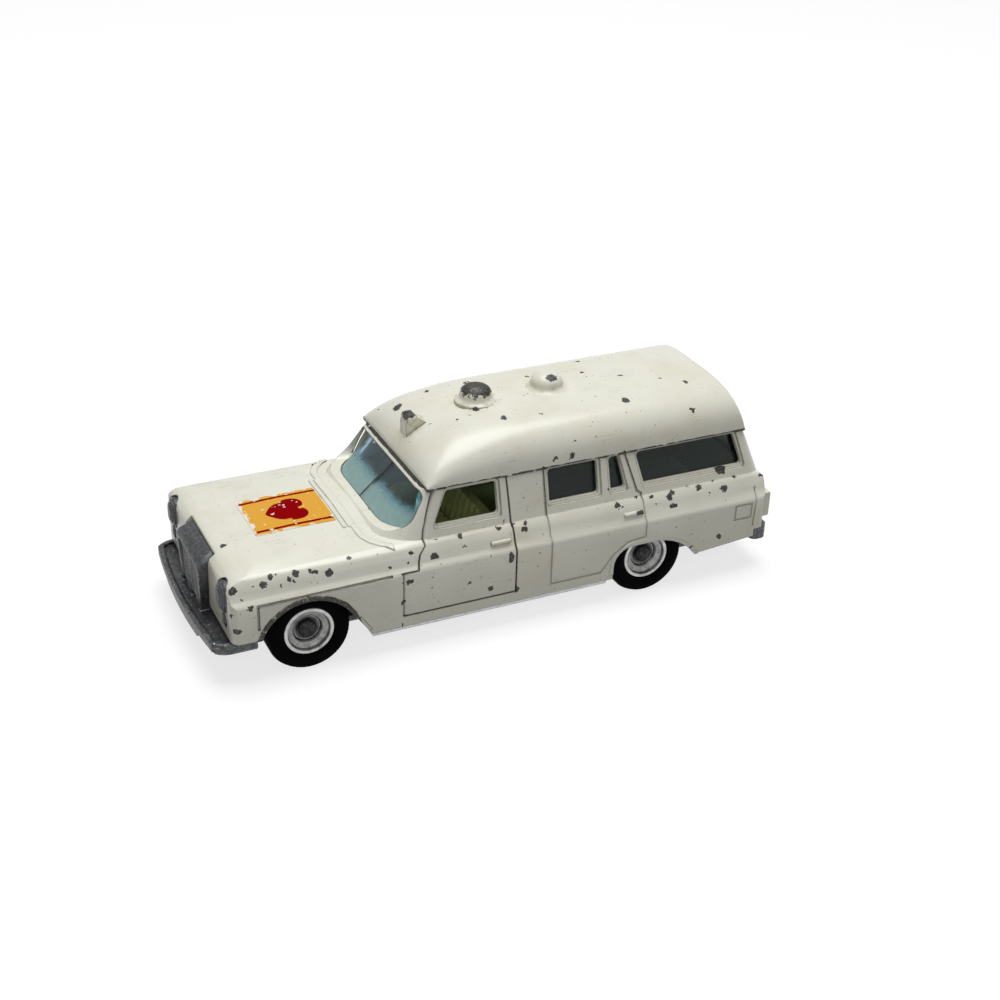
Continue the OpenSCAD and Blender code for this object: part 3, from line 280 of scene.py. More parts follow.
class GrimeAndShade(EffectGroup):
    """Painted shade mixed with soiling in corners, read from ambient occlusion, and a faint film of soiling
    over open faces.
    """

    name = "grime_and_shade"
    takes = (
        PLACE,
        GroupPort("Depth", default=0.0015),
        GroupPort("Film", default=0.15),
    )
    gives = (GroupPort("Corner"), GroupPort("Film"))

    def draw(self, graph: Graph, entry: Node) -> dict[str, Socket]:
        """Reads how closed-in a point is and breaks it up with noise."""
        shelter = graph.add("ShaderNodeAmbientOcclusion", {"Distance": entry.outputs["Depth"]}, samples=6)
        closed = graph.minus(1.0, shelter.outputs["AO"])
        fine = graph.noise(entry.outputs["Place"], 1.1, 5.0, 0.65)
        broad = graph.noise(entry.outputs["Place"], 0.09, 4.0, 0.6)
        # Corner is painted shade: darkening from ambient occlusion, partly standing for soiling.
        corner = graph.step(graph.times(closed, graph.plus(fine, 0.45)), 0.18, 0.75)
        film = graph.times(graph.step(broad, 0.42, 0.72), entry.outputs["Film"])
        return {"Corner": corner, "Film": film}


class Specks(EffectGroup):
    """Sparse dots, from pinholes in paint to glints in a casting."""

    name = "specks"
    takes = (
        PLACE,
        GroupPort("Per Millimetre", default=0.5),
        GroupPort("Dot Size", default=0.1),
        GroupPort("Share", default=0.4),
    )
    gives = (GroupPort("Dots"),)

    def draw(self, graph: Graph, entry: Node) -> dict[str, Socket]:
        """Scatters cells and keeps a dot in some of them."""
        wobble = graph.colour_noise(entry.outputs["Place"], 3.0, 2.0)
        bent = graph.vector("ADD", entry.outputs["Place"], graph.scaled(wobble, 0.35))
        cells = graph.add("ShaderNodeTexVoronoi", {"Vector": bent, "Scale": entry.outputs["Per Millimetre"]})
        draw = graph.split(cells.outputs["Color"])
        kept = graph.math("LESS_THAN", draw[0], entry.outputs["Share"])
        size = graph.times(entry.outputs["Dot Size"], graph.plus(draw[1], 0.3))
        inside = graph.math("LESS_THAN", cells.outputs["Distance"], size)
        return {"Dots": graph.times(kept, inside)}


class Hairlines(EffectGroup):
    """Fine straight scratches in two directions."""

    name = "hairlines"
    takes = (
        PLACE,
        GroupPort("Amount", default=0.5),
    )
    gives = (GroupPort("Lines"),)

    def draw(self, graph: Graph, entry: Node) -> dict[str, Socket]:
        """Stretches noise along two directions and keeps its crests in patches."""
        lines = []
        for turn, seed in (((0.7, 0.4, 0.5), 0.0), ((-0.5, 0.9, 2.3), 31.0)):
            mapped = graph.add(
                "ShaderNodeMapping",
                {
                    "Vector": entry.outputs["Place"],
                    "Location": (seed, seed, 0.0),
                    "Rotation": turn,
                    "Scale": (0.16, 3.6, 3.6),
                },
            )
            crest = graph.noise(mapped.outputs[0], 1.0, 1.0)
            near = graph.gap(crest, 0.5)
            lines.append(graph.step(near, 0.012, 0.002))
        patches = graph.noise(entry.outputs["Place"], 0.22, 2.0)
        either = graph.most(lines[0], lines[1])
        shown = graph.step(graph.plus(patches, entry.outputs["Amount"]), 1.0, 1.2)
        return {"Lines": graph.times(either, shown)}


class Effects:
    """The node groups that several finishes share."""

    def __init__(self) -> None:
        """Builds each group once."""
        self.edge_wear = EdgeWear()
        self.grime_and_shade = GrimeAndShade()
        self.specks = Specks()
        self.hairlines = Hairlines()

    def dots(self, graph: Graph, place: Socket, per_mm: float, size: float, share: Value) -> Socket:
        """Returns a mask of sparse dots: cells per millimetre, dot size and share of cells that keep one."""
        inputs = {"Place": place, "Per Millimetre": per_mm, "Dot Size": size, "Share": share}
        return self.specks.place(graph, inputs).outputs["Dots"]


def new_material(name: str) -> tuple[Material, Graph, Node, Node]:
    """Makes an empty node material.

    Args:
        name: The material's name.

    Returns:
        The material, its graph, its Principled shader and its output node.
    """
    material = bpy.data.materials.new(name)
    material.use_nodes = True
    material.node_tree.nodes.clear()
    graph = Graph(material.node_tree)
    shader = graph.add("ShaderNodeBsdfPrincipled")
    output = graph.add("ShaderNodeOutputMaterial")
    graph.feed(output.inputs["Surface"], shader.outputs[0])
    return material, graph, shader, output


@dataclass(frozen=True)
class Enamel:
    """Cream gloss enamel on a zinc casting, chipped and a little dirty, with painted shade in its corners."""

    name: str = "cream_enamel_worn"
    cream: Colour = (0.77, 0.765, 0.665)
    yellowed: Colour = (0.70, 0.66, 0.50)
    dirt_and_shade: Colour = (0.17, 0.14, 0.085)
    metal: Colour = (0.050, 0.048, 0.043)
    metal_bright: Colour = (0.16, 0.16, 0.155)
    gutter_z: float = 27.2
    header_x: float = 12.9
    arch_x: float = 36.5
    arch_z: float = 5.1
    arch_r: float = 8.9
    closed_x: float = -3.0
    side_y: float = 16.8
    shoulder_z: float = 17.6
    shoulder_half: float = 1.1
    shoulder_share: float = 0.8
    door_front_x: float = 19.0
    door_rear_x: float = -0.9
    edge_half: float = 0.9
    edge_share: float = 0.6
    nose_x: float = 43.0
    nose_share: float = 0.75
    roof_share: float = 0.1
    plain_share: float = 0.02
    dome_x: float = -1.7
    dome_pitch: float = 13.8
    dome_top: float = 37.5
    spot_x: float = 11.4
    spot_z: float = 34.7
    stain: Colour = (0.50, 0.43, 0.22)
    stained: tuple[Point, ...] = ((-1.7, 3.6, 5.2), (-15.3, 3.4, 4.9), (10.3, 1.2, 3.4))
    stain_z: float = 30.0
    dome_worn: Point = (3.4, 3.4, 2.0)
    nick_y: float = 1.8
    nick_worn: Point = (1.2, 1.0, 0.9)
    spot_y: float = 0.3
    spot_worn: Point = (1.6, 1.8, 1.2)
    chip_layers: tuple[tuple[float, float], ...] = ((0.3, 0.26), (0.5, 0.25))
    chip_shake: float = 1.7
    fade: float = 0.6
    arch_y: float = 18.2
    bonnet_x: float = 21.5
    bonnet_z: float = 17.0
    frame_z: float = 18.6

    def knocked(self, graph: Graph, place: Socket) -> Socket:
        """Returns the share of cells that lost their enamel, highest where a toy gets knocked.

        Args:
            graph: The material's graph.
            place: Coordinates in millimetres.

        Returns:
            A share from 0 to 1.
        """
        x, y, z = graph.split(place)
        outward = graph.absolute(y)
        side = graph.step(outward, self.side_y - 1.0, self.side_y)
        off_shoulder = graph.gap(z, self.shoulder_z)
        shoulder = graph.step(off_shoulder, self.shoulder_half, self.shoulder_half + self.fade)
        share = graph.times(graph.minus(1.0, shoulder), self.shoulder_share)
        for edge in (self.door_front_x, self.door_rear_x):
            off_edge = graph.gap(x, edge)
            far = graph.step(off_edge, self.edge_half, self.edge_half + self.fade)
            share = graph.most(share, graph.times(graph.minus(1.0, far), self.edge_share))
        nose = graph.times(graph.step(x, self.nose_x, self.nose_x + 3.0), self.nose_share)
        share = graph.times(graph.most(share, nose), side)
        roof = graph.times(graph.step(z, self.gutter_z, self.gutter_z + 1.0), self.roof_share)
        return graph.most(graph.most(share, roof), self.plain_share)

    def lamp_wear(self, graph: Graph, bent: Socket) -> Socket:
        """Returns how deep a point lies inside the worn crowns of the roof lamps.

        Args:
            graph: The material's graph.
            bent: Coordinates in millimetres, shaken by noise.

        Returns:
            A value above 0 inside a worn crown.
        """
        crowns = (
            ((self.dome_x, 0.0, self.dome_top), self.dome_worn),
            ((self.dome_x - self.dome_pitch, self.nick_y, self.dome_top), self.nick_worn),
            ((self.spot_x, self.spot_y, self.spot_z), self.spot_worn),
        )
        field: Value = -9.0
        for centre, reach in crowns:
            local = graph.vector("DIVIDE", graph.vector("SUBTRACT", bent, centre), reach)
            field = graph.most(field, graph.minus(1.0, graph.length(local)))
        return field

    def chips(self, effects: Effects, graph: Graph, place: Socket) -> Socket:
        """Returns a mask of the chips, scattered by chance in two sizes.

        Args:
            effects: The shared node groups.
            graph: The material's graph.
            place: Coordinates in millimetres.

        Returns:
            A mask, 1 where the enamel is lost.
        """
        wobble = graph.colour_noise(place, 0.9, 4.0, 0.62)
        shake = graph.vector("SUBTRACT", wobble, (0.5, 0.5, 0.5))
        bent = graph.vector("ADD", place, graph.scaled(shake, self.chip_shake))
        share = self.knocked(graph, place)
        grain = graph.noise(place, 1.7, 4.0, 0.6)
        rough = graph.times(graph.minus(grain, 0.5), 0.9)
        mask = graph.step(graph.plus(self.lamp_wear(graph, bent), rough), 0.0, 0.1)
        for per_millimetre, dot_size in self.chip_layers:
            dots = effects.dots(graph, bent, per_millimetre, dot_size, share)
            mask = graph.most(mask, dots)
        return mask

    def stains(self, graph: Graph, place: Socket) -> Socket:
        """Returns a mask round the foot of each roof lamp, where old polish has dried."""
        x, y, z = graph.split(place)
        mask: Value = 0.0
        for middle, near, far in self.stained:
            away = graph.diagonal(graph.minus(x, middle), y)
            ring = graph.times(graph.step(away, far, near), graph.step(away, near - 1.0, near))
            mask = graph.most(mask, ring)
        patchy = graph.step(graph.noise(place, 0.9, 5.0, 0.65), 0.42, 0.66)
        return graph.times(graph.times(mask, patchy), graph.step(z, self.stain_z, self.stain_z + 1.0))

    def bands(self, graph: Graph, place: Socket) -> Socket:
        """Returns a mask along gutter, header and front wheel arches, where paint wears in a broken line."""
        x, y, z = graph.split(place)
        gutter = graph.step(graph.gap(z, self.gutter_z), 0.42, 0.1)
        ahead = graph.math("GREATER_THAN", x, self.header_x)
        gutter = graph.times(gutter, graph.blend(ahead, 1.0, 1.3))
        radius = graph.diagonal(graph.minus(x, self.arch_x), graph.minus(z, self.arch_z))
        ring = graph.step(graph.gap(radius, self.arch_r), 1.0, 0.25)
        outside = graph.math("GREATER_THAN", graph.absolute(y), self.arch_y)
        arch = graph.times(graph.times(ring, outside), 1.25)
        return graph.most(gutter, arch)

    def build(self, effects: Effects) -> Material:
        """Makes the material.

        Args:
            effects: The shared node groups.

        Returns:
            The finished material.
        """
        material, graph, shader, _ = new_material(self.name)
        place = graph.object_mm()
        edges = effects.edge_wear.place(
            graph, {"Place": place, "Reach": 0.0003, "Amount": 0.42, "Patch Size": 0.24}
        )
        dirt_and_shade = effects.grime_and_shade.place(graph, {"Place": place, "Depth": 0.0011, "Film": 0.5})
        dots = effects.dots(graph, place, 0.55, 0.085, 0.35)
        dust_and_reflection = effects.dots(graph, place, 0.9, 0.13, 0.35)
        scratches = effects.hairlines.place(graph, {"Place": place, "Amount": 0.52})
        spots = self.chips(effects, graph, place)
        broken = graph.noise(place, 0.55, 5.0, 0.7)
        uneven = graph.minus(graph.times(broken, 1.9), 0.25)
        line_level = graph.times(self.bands(graph, place), uneven)
        lines = graph.step(line_level, 0.5, 0.6)
        x, _, z = graph.split(place)
        opening = graph.step(x, self.closed_x - 1.5, self.closed_x)
        forward = graph.step(x, self.bonnet_x, self.bonnet_x + 1.0)
        bonnet = graph.times(forward, graph.step(z, self.bonnet_z, self.bonnet_z + 0.8))
        framed = graph.most(opening, graph.step(z, self.frame_z, self.frame_z + 0.8))
        exposed = graph.times(graph.blend(framed, 0.25, 1.0), graph.blend(bonnet, 1.0, 0.15))
        rubbed_and_glint = graph.times(edges.outputs["Worn"], exposed)
        bare = graph.most(graph.most(spots, lines), rubbed_and_glint)
        tone = graph.mix(dirt_and_shade.outputs["Film"], self.cream, self.yellowed)
        tone = graph.mix(graph.times(self.stains(graph, place), 0.55), tone, self.stain)
        fine = graph.most(dots, graph.times(scratches.outputs["Lines"], 0.45))
        fine = graph.most(fine, graph.times(dust_and_reflection, 0.5))
        tone = graph.mix(graph.times(fine, 0.75), tone, self.dirt_and_shade)
        # Painted shade: corners darken towards the brown soiling colour by ambient occlusion, partly standing
        # for soiling.
        corner_shade_and_dirt = graph.times(dirt_and_shade.outputs["Corner"], graph.times(exposed, 0.9))
        tone = graph.mix(corner_shade_and_dirt, tone, self.dirt_and_shade)
        shine = graph.noise(place, 2.6, 4.0, 0.7)
        metal = graph.mix(graph.step(shine, 0.48, 0.75), self.metal, self.metal_bright)
        graph.feed(shader.inputs["Base Color"], graph.mix(bare, tone, metal))
        graph.feed(shader.inputs["Metallic"], graph.times(bare, 0.85))
        graph.feed(shader.inputs["Roughness"], graph.blend(bare, 0.27, 0.52))
        peel = graph.noise(place, 0.8, 3.0, 0.5)
        height = graph.minus(graph.times(peel, 0.25), bare)
        bump = graph.add("ShaderNodeBump", {"Height": height, "Strength": 0.4, "Distance": 0.00007})
        graph.feed(bump.inputs["Normal"], edges.outputs["Rounded"])
        graph.feed(shader.inputs["Normal"], bump.outputs[0])
        return material


@dataclass(frozen=True)
class BareCasting:
    """Unpainted zinc, dull grey with painted glints, worn bright edges, a painted highlight along the foot of
    its sides and painted shade in its corners.
    """

    name: str
    grey: Colour = (0.140, 0.143, 0.148)
    dark: Colour = (0.050, 0.051, 0.054)
    rubbed_and_glint: Colour = (0.66, 0.67, 0.68)
    metallic: float = 0.8
    roughness: float = 0.34
    lamp_x: float = 44.0
    lamp_y: float = 11.0
    lamp_z: float = 8.6
    upper_z: float = 8.4
    rail_y: float = 16.5
    rail_z: float = 4.8

    def build(self, effects: Effects) -> Material:
        """Makes the material from the shared groups."""
        material, graph, shader, _ = new_material(self.name)
        place = graph.object_mm()
        edges = effects.edge_wear.place(
            graph, {"Place": place, "Reach": 0.00045, "Amount": 0.5, "Patch Size": 0.3}
        )
        dirt_and_shade = effects.grime_and_shade.place(graph, {"Place": place, "Depth": 0.0012, "Film": 0.6})
        glints = effects.dots(graph, place, 1.9, 0.2, 0.5)
        mottle = graph.noise(place, 1.3, 5.0, 0.7)
        tone = graph.mix(graph.step(mottle, 0.35, 0.7), self.dark, self.grey)
        # Painted glints: bright dots in the worn-metal colour.
        tone = graph.mix(graph.times(glints, 0.6), tone, self.rubbed_and_glint)
        tone = graph.mix(graph.times(edges.outputs["Worn"], 0.7), tone, self.rubbed_and_glint)
        # Painted shade: corners darkened by ambient occlusion, partly standing for soiling.
        tone = graph.mix(graph.times(dirt_and_shade.outputs["Corner"], 0.8), tone, self.dark)
        x, y, z = graph.split(place)
        outward = graph.absolute(y)
        lamps = graph.step(outward, self.lamp_y, self.lamp_y + 1.0)
        lamps = graph.times(lamps, graph.step(z, self.lamp_z, self.lamp_z + 0.8))
        lamps = graph.times(lamps, graph.step(x, self.lamp_x, self.lamp_x + 1.0))
        tone = graph.mix(graph.times(lamps, 0.7), tone, self.dark)
        upper = graph.times(graph.step(z, self.upper_z, self.upper_z + 0.8), 0.4)
        tone = graph.mix(upper, tone, self.dark)
        # Painted highlight: a bright band along the bottom of the sides, in the worn-metal colour.
        rail_highlight = graph.step(outward, self.rail_y, self.rail_y + 0.7)
        rail_highlight = graph.times(rail_highlight, graph.step(z, self.rail_z + 0.4, self.rail_z))
        tone = graph.mix(graph.times(rail_highlight, graph.plus(mottle, 0.3)), tone, self.rubbed_and_glint)
        graph.feed(shader.inputs["Base Color"], tone)
        shader.inputs["Metallic"].default_value = self.metallic
        sheen = graph.minus(self.roughness, graph.times(edges.outputs["Worn"], 0.14))
        graph.feed(shader.inputs["Roughness"], graph.plus(sheen, graph.times(mottle, 0.12)))
        pits = graph.noise(place, 3.2, 4.0, 0.7)
        bump = graph.add("ShaderNodeBump", {"Height": pits, "Strength": 0.6, "Distance": 0.0001})
        graph.feed(bump.inputs["Normal"], edges.outputs["Rounded"])
        graph.feed(shader.inputs["Normal"], bump.outputs[0])
        return material


@dataclass(frozen=True)
class TurnedHub:
    """Bright turned metal with fine rings, dark specks, a painted highlight ring near the rim, and painted
    shade mixed with soiling in its corners.
    """

    name: str = "turned_hub"
    bright: Colour = (0.34, 0.34, 0.335)
    dull: Colour = (0.15, 0.15, 0.147)
    black: Colour = (0.02, 0.02, 0.02)
    axles: tuple[float, float] = (36.2, -27.6)
    axle_z: float = 7.2
    rings_per_mm: float = 2.2
    rim: Colour = (0.75, 0.75, 0.74)
    rim_r: float = 4.1
    boss_r: float = 2.0

    def radius(self, graph: Graph, place: Socket) -> Socket:
        """Returns the distance from the nearer axle in millimetres."""
        x, _, z = graph.split(place)
        up = graph.minus(z, self.axle_z)
        reaches = [graph.diagonal(graph.minus(x, axle), up) for axle in self.axles]
        return graph.math("MINIMUM", reaches[0], reaches[1])

    def build(self, effects: Effects) -> Material:
        """Makes the material from the shared groups."""
        material, graph, shader, _ = new_material(self.name)
        place = graph.object_mm()
        dirt_and_shade = effects.grime_and_shade.place(graph, {"Place": place, "Depth": 0.0022, "Film": 0.5})
        dots = effects.dots(graph, place, 1.1, 0.2, 0.35)
        mottle = graph.noise(place, 0.9, 5.0, 0.7)
        tone = graph.mix(graph.step(mottle, 0.3, 0.62), self.dull, self.bright)
        tone = graph.mix(graph.times(dots, 0.7), tone, self.dull)
        reach = self.radius(graph, place)
        # Painted highlight: a bright ring near the rim.
        ring_highlight = graph.step(graph.gap(reach, self.rim_r), 0.45, 0.15)
        tone = graph.mix(graph.times(ring_highlight, mottle), tone, self.rim)
        boss = graph.times(graph.step(reach, self.boss_r + 0.25, self.boss_r), 0.75)
        tone = graph.mix(boss, tone, self.black)
        # Painted shade: corners darkened to black by ambient occlusion, partly standing for soiling.
        tone = graph.mix(dirt_and_shade.outputs["Corner"], tone, self.black)
        graph.feed(shader.inputs["Base Color"], tone)
        shader.inputs["Metallic"].default_value = 0.85
        graph.feed(shader.inputs["Roughness"], graph.plus(0.24, graph.times(mottle, 0.25)))
        rings = graph.math("SINE", graph.times(reach, self.rings_per_mm * math.tau))
        bump = graph.add("ShaderNodeBump", {"Height": rings, "Strength": 0.35, "Distance": 0.00006})
        graph.feed(shader.inputs["Normal"], bump.outputs[0])
        return material


@dataclass(frozen=True)
class TyreRubber:
    """Matt black tyre with a pale powdery bloom."""

    name: str = "black_tyre"
    black: Colour = (0.0007, 0.0007, 0.0007)
    dusty_and_reflecting: Colour = (0.003, 0.003, 0.0029)

    def build(self, effects: Effects) -> Material:
        """Makes the material from the shared groups."""
        material, graph, shader, _ = new_material(self.name)
        place = graph.object_mm()
        edges = effects.edge_wear.place(
            graph, {"Place": place, "Reach": 0.0005, "Amount": 0.3, "Patch Size": 0.5}
        )
        cloud = graph.noise(place, 0.7, 4.0, 0.6)
        tone = graph.mix(graph.step(cloud, 0.4, 0.75), self.black, self.dusty_and_reflecting)
        tone = graph.mix(graph.times(edges.outputs["Worn"], 0.5), tone, self.dusty_and_reflecting)
        graph.feed(shader.inputs["Base Color"], tone)
        graph.feed(shader.inputs["Roughness"], graph.plus(0.62, graph.times(cloud, 0.25)))
        shader.inputs["Specular IOR Level"].default_value = 0.03
        grain = graph.noise(place, 5.0, 3.0, 0.6)
        bump = graph.add("ShaderNodeBump", {"Height": grain, "Strength": 0.3, "Distance": 0.00005})
        graph.feed(shader.inputs["Normal"], bump.outputs[0])
        return material


@dataclass(frozen=True)
class TintedGlazing:
    """Clear moulded plastic with a blue-green tint, painted darker along the sides as shade, with a painted
    pale reflection low on the screen.
    """

    name: str = "tinted_glazing"
    screen: Colour = (0.26, 0.41, 0.53)
    side: Colour = (0.13, 0.20, 0.18)
    haze: Colour = (0.50, 0.66, 0.67)
    screen_light: Colour = (0.86, 0.94, 0.95)
    side_light: Colour = (0.50, 0.60, 0.60)
    dust_and_reflection: Colour = (0.33, 0.47, 0.45)
    screen_x: float = 12.0
    reflection_z: float = 22.4

    def build(self, effects: Effects) -> Material:
        """Makes the material; light for shadows passes straight through it."""
        material, graph, shader, output = new_material(self.name)
        place = graph.object_mm()
        ahead = graph.step(graph.split(place)[0], self.screen_x - 0.8, self.screen_x + 0.8)
        scratches = effects.hairlines.place(graph, {"Place": place, "Amount": 0.5})
        dirt_and_shade = effects.grime_and_shade.place(graph, {"Place": place, "Depth": 0.001, "Film": 0.4})
        # Painted shade: the side panes get a darker tint than the screen.
        tint = graph.mix(ahead, self.side, self.screen)
        hazed = graph.times(dirt_and_shade.outputs["Film"], ahead)
        graph.feed(shader.inputs["Base Color"], graph.mix(hazed, tint, self.haze))
        marks = graph.times(scratches.outputs["Lines"], 0.25)
        graph.feed(shader.inputs["Roughness"], graph.plus(0.06, marks))
        shader.inputs["Transmission Weight"].default_value = 1.0
        shader.inputs["IOR"].default_value = 1.34
        let_in = graph.mix(ahead, self.side_light, self.screen_light)
        through = graph.add("ShaderNodeBsdfTransparent", {"Color": let_in})
        light_path = graph.add("ShaderNodeLightPath")
        # Painted reflection: a pale diffuse film over the lower screen, its top edge wavering with noise.
        cloud = graph.noise(place, 0.45, 5.0, 0.7)
        waver = graph.times(graph.minus(cloud, 0.5), 1.6)
        rise = graph.plus(graph.split(place)[2], waver)
        low = graph.times(graph.step(rise, self.reflection_z + 0.6, self.reflection_z - 0.6), ahead)
        dusty_and_reflecting = graph.times(low, graph.plus(0.52, graph.times(cloud, 0.4)))
        film = graph.add("ShaderNodeBsdfDiffuse", {"Color": self.dust_and_reflection})
        filmed = graph.add("ShaderNodeMixShader", {0: dusty_and_reflecting})
        graph.feed(filmed.inputs[1], shader.outputs[0])
        graph.feed(filmed.inputs[2], film.outputs[0])
        joined = graph.add("ShaderNodeMixShader", {0: light_path.outputs["Is Shadow Ray"]})
        graph.feed(joined.inputs[1], filmed.outputs[0])
        graph.feed(joined.inputs[2], through.outputs[0])
        graph.feed(output.inputs["Surface"], joined.outputs[0])
        return material


@dataclass(frozen=True)
class MouldedPlastic:
    """Satin moulded plastic with slight tone changes, painted shade mixed with soiling in its corners and
    painted light on its front.
    """

    name: str
    tone: Colour
    shade: Colour
    roughness: float = 0.42
    lit_tone: Colour = (0.72, 0.73, 0.66)
    lit_from: float = 999.0

    def build(self, effects: Effects) -> Material:
        """Makes the material from the shared groups."""
        material, graph, shader, _ = new_material(self.name)
        place = graph.object_mm()
        dirt_and_shade = effects.grime_and_shade.place(graph, {"Place": place, "Depth": 0.002, "Film": 0.4})
        cloud = graph.noise(place, 0.5, 4.0, 0.6)
        colour = graph.mix(graph.times(cloud, 0.5), self.tone, self.shade)
        # Painted shade: corners darken towards the shade colour by ambient occlusion, partly standing for
        # soiling.
        colour = graph.mix(graph.times(dirt_and_shade.outputs["Corner"], 0.6), colour, self.shade)
        # Painted light: the front of the moulding turns pale, as if lit through the screen.
        sunlit = graph.step(graph.split(place)[0], self.lit_from - 0.6, self.lit_from + 0.6)
        colour = graph.mix(sunlit, colour, self.lit_tone)
        graph.feed(shader.inputs["Base Color"], colour)
        graph.feed(shader.inputs["Roughness"], graph.plus(self.roughness, graph.times(cloud, 0.15)))
        grain = graph.noise(place, 4.0, 3.0, 0.6)
        bump = graph.add("ShaderNodeBump", {"Height": grain, "Strength": 0.25, "Distance": 0.00004})
        graph.feed(shader.inputs["Normal"], bump.outputs[0])
        return material


@dataclass(frozen=True)
class PrintedLabel:
    """Yellow film with a plain red heart and two red bars, worn through at its edges."""

    name: str = "printed_label"
    yellow: Colour = (0.76, 0.39, 0.055)
    red: Colour = (0.27, 0.002, 0.004)
    bared: Colour = (0.80, 0.79, 0.72)
    centre_x: float = 33.8
    heart_size: float = 3.3
    half_l: float = 7.0
    half_w: float = 6.2
    bar_y: float = 5.1
    bar_half: float = 0.32

    def heart(self, graph: Graph, along: Socket, across: Socket) -> Socket:
        """Returns a mask that is 1 inside a heart whose point lies towards the front.

        Args:
            graph: The material's graph.
            along: Distance towards the windscreen from the heart's middle, in heart sizes.
            across: Distance to the left, in heart sizes.

        Returns:
            The mask.
        """
        a2 = graph.times(across, across)
        l2 = graph.times(along, along)
        ring = graph.minus(graph.plus(a2, l2), 1.0)
        cube = graph.times(ring, graph.times(ring, ring))
        lobe = graph.times(a2, graph.times(l2, along))
        return graph.step(graph.minus(lobe, cube), 0.0, 0.02)

    def build(self, effects: Effects) -> Material:
        """Makes the material from the shared groups."""
        material, graph, shader, _ = new_material(self.name)
        place = graph.object_mm()
        x, y, _ = graph.split(place)
        from_middle = graph.minus(self.centre_x, x)
        along = graph.math("DIVIDE", graph.plus(from_middle, 0.5), self.heart_size)
        across = graph.math("DIVIDE", y, self.heart_size)
        heart = self.heart(graph, along, across)
        side = graph.absolute(y)
        bars = graph.math("LESS_THAN", graph.gap(side, self.bar_y), self.bar_half)
        colour = graph.mix(graph.most(heart, bars), self.yellow, self.red)
        ragged = graph.noise(place, 0.55, 5.0, 0.65)
        end = graph.minus(self.half_l, graph.absolute(from_middle))
        rim = graph.math("MINIMUM", end, graph.minus(self.half_w, side))
        lead = graph.times(from_middle, 0.05)
        eaten = graph.minus(graph.minus(graph.times(ragged, 4.6), rim), lead)
        worn = graph.step(eaten, 2.1, 2.25)
        flakes = graph.step(graph.noise(place, 0.62, 3.0, 0.55), 0.66, 0.68)
        dots = effects.dots(graph, place, 0.6, 0.12, 0.3)
        gone = graph.most(graph.most(worn, flakes), dots)
        colour = graph.mix(gone, colour, self.bared)
        graph.feed(shader.inputs["Base Color"], colour)
        graph.feed(shader.inputs["Roughness"], graph.blend(gone, 0.5, 0.3))
        shader.inputs["Specular IOR Level"].default_value = 0.0
        inputs = {"Height": gone, "Strength": 0.3, "Distance": 0.00004}
        bump = graph.add("ShaderNodeBump", inputs, invert=True)
        graph.feed(shader.inputs["Normal"], bump.outputs[0])
        return material


class Finishes:
    """Every material of the toy, made once."""

    def __init__(self) -> None:
        """Builds the shared groups, then each finish."""
        effects = Effects()
        self.enamel = Enamel().build(effects)
        self.casting = BareCasting("bare_casting").build(effects)
        self.axle = BareCasting(
            "dark_steel",
            grey=(0.05, 0.052, 0.05),
            dark=(0.012, 0.012, 0.012),
            rubbed_and_glint=(0.2, 0.2, 0.19),
            roughness=0.38,
        ).build(effects)
        self.hub = TurnedHub().build(effects)
        self.tyre = TyreRubber().build(effects)
        self.glazing = TintedGlazing().build(effects)
        self.olive = MouldedPlastic(
            "olive_plastic", (0.36, 0.36, 0.11), (0.15, 0.15, 0.042), lit_from=16.5
        ).build(effects)
        self.pale = MouldedPlastic("pale_plastic", (0.62, 0.62, 0.58), (0.36, 0.36, 0.33)).build(effects)
        # Painted shade: a near-black finish for the screen's centre rib, a slice of the clear moulding.
        self.shaded_rib = MouldedPlastic("dark_line", (0.012, 0.016, 0.022), (0.006, 0.007, 0.009)).build(effects)
        self.label = PrintedLabel().build(effects)


def settle(piece: Object, body: Body, material: Material) -> Object:
    """Dresses a piece and sets it on its body.

    Args:
        piece: The new piece, in place.
        body: The body that it rides on.
        material: The finish it shows.

    Returns:
        The piece.
    """
    piece.data.materials.clear()
    piece.data.materials.append(material)
    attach(piece, body.value)
    LOG.info("%s rides on %s in %s", piece.name, body.value, material.name)
    return piece


def add_object(name: str, shape: BMesh) -> Object:
    """Turns a bmesh into a linked object at the origin.

    Args:
        name: The piece's name.
        shape: The finished bmesh, which is freed.

    Returns:
        The object.
    """
    mesh = bpy.data.meshes.new(name)
    shape.to_mesh(mesh)
    shape.free()
    piece = bpy.data.objects.new(name, mesh)
    bpy.context.scene.collection.objects.link(piece)
    return piece


@dataclass(frozen=True)
class Region:
    """A box in millimetres that picks out part of a node."""

    low: Point
    high: Point

    def holds(self, vert: bmesh.types.BMVert) -> bool:
        """Returns whether a point lies in the box."""
        return all(low * MM <= part <= high * MM for low, part, high in zip(self.low, vert.co, self.high))

    def edges(self, shape: BMesh) -> list[bmesh.types.BMEdge]:
        """Returns the edges that lie wholly in the box."""
        return [edge for edge in shape.edges if all(self.holds(vert) for vert in edge.verts)]


@dataclass(frozen=True)
class Round(Region):
    """A region whose outer edges are rounded."""

    size: float = 0.4
    segments: int = 3

    def apply(self, shape: BMesh, crease: float) -> None:
        """Bevels the outer edges that turn by more than the crease angle."""
        outer = [edge for edge in self.edges(shape) if edge.is_convex and edge.calc_face_angle(0.0) > crease]
        bmesh.ops.bevel(
            shape, geom=outer, offset=self.size * MM, offset_type="OFFSET", affect="EDGES",
            segments=self.segments, profile=0.5, clamp_overlap=True, material=-1,
        )


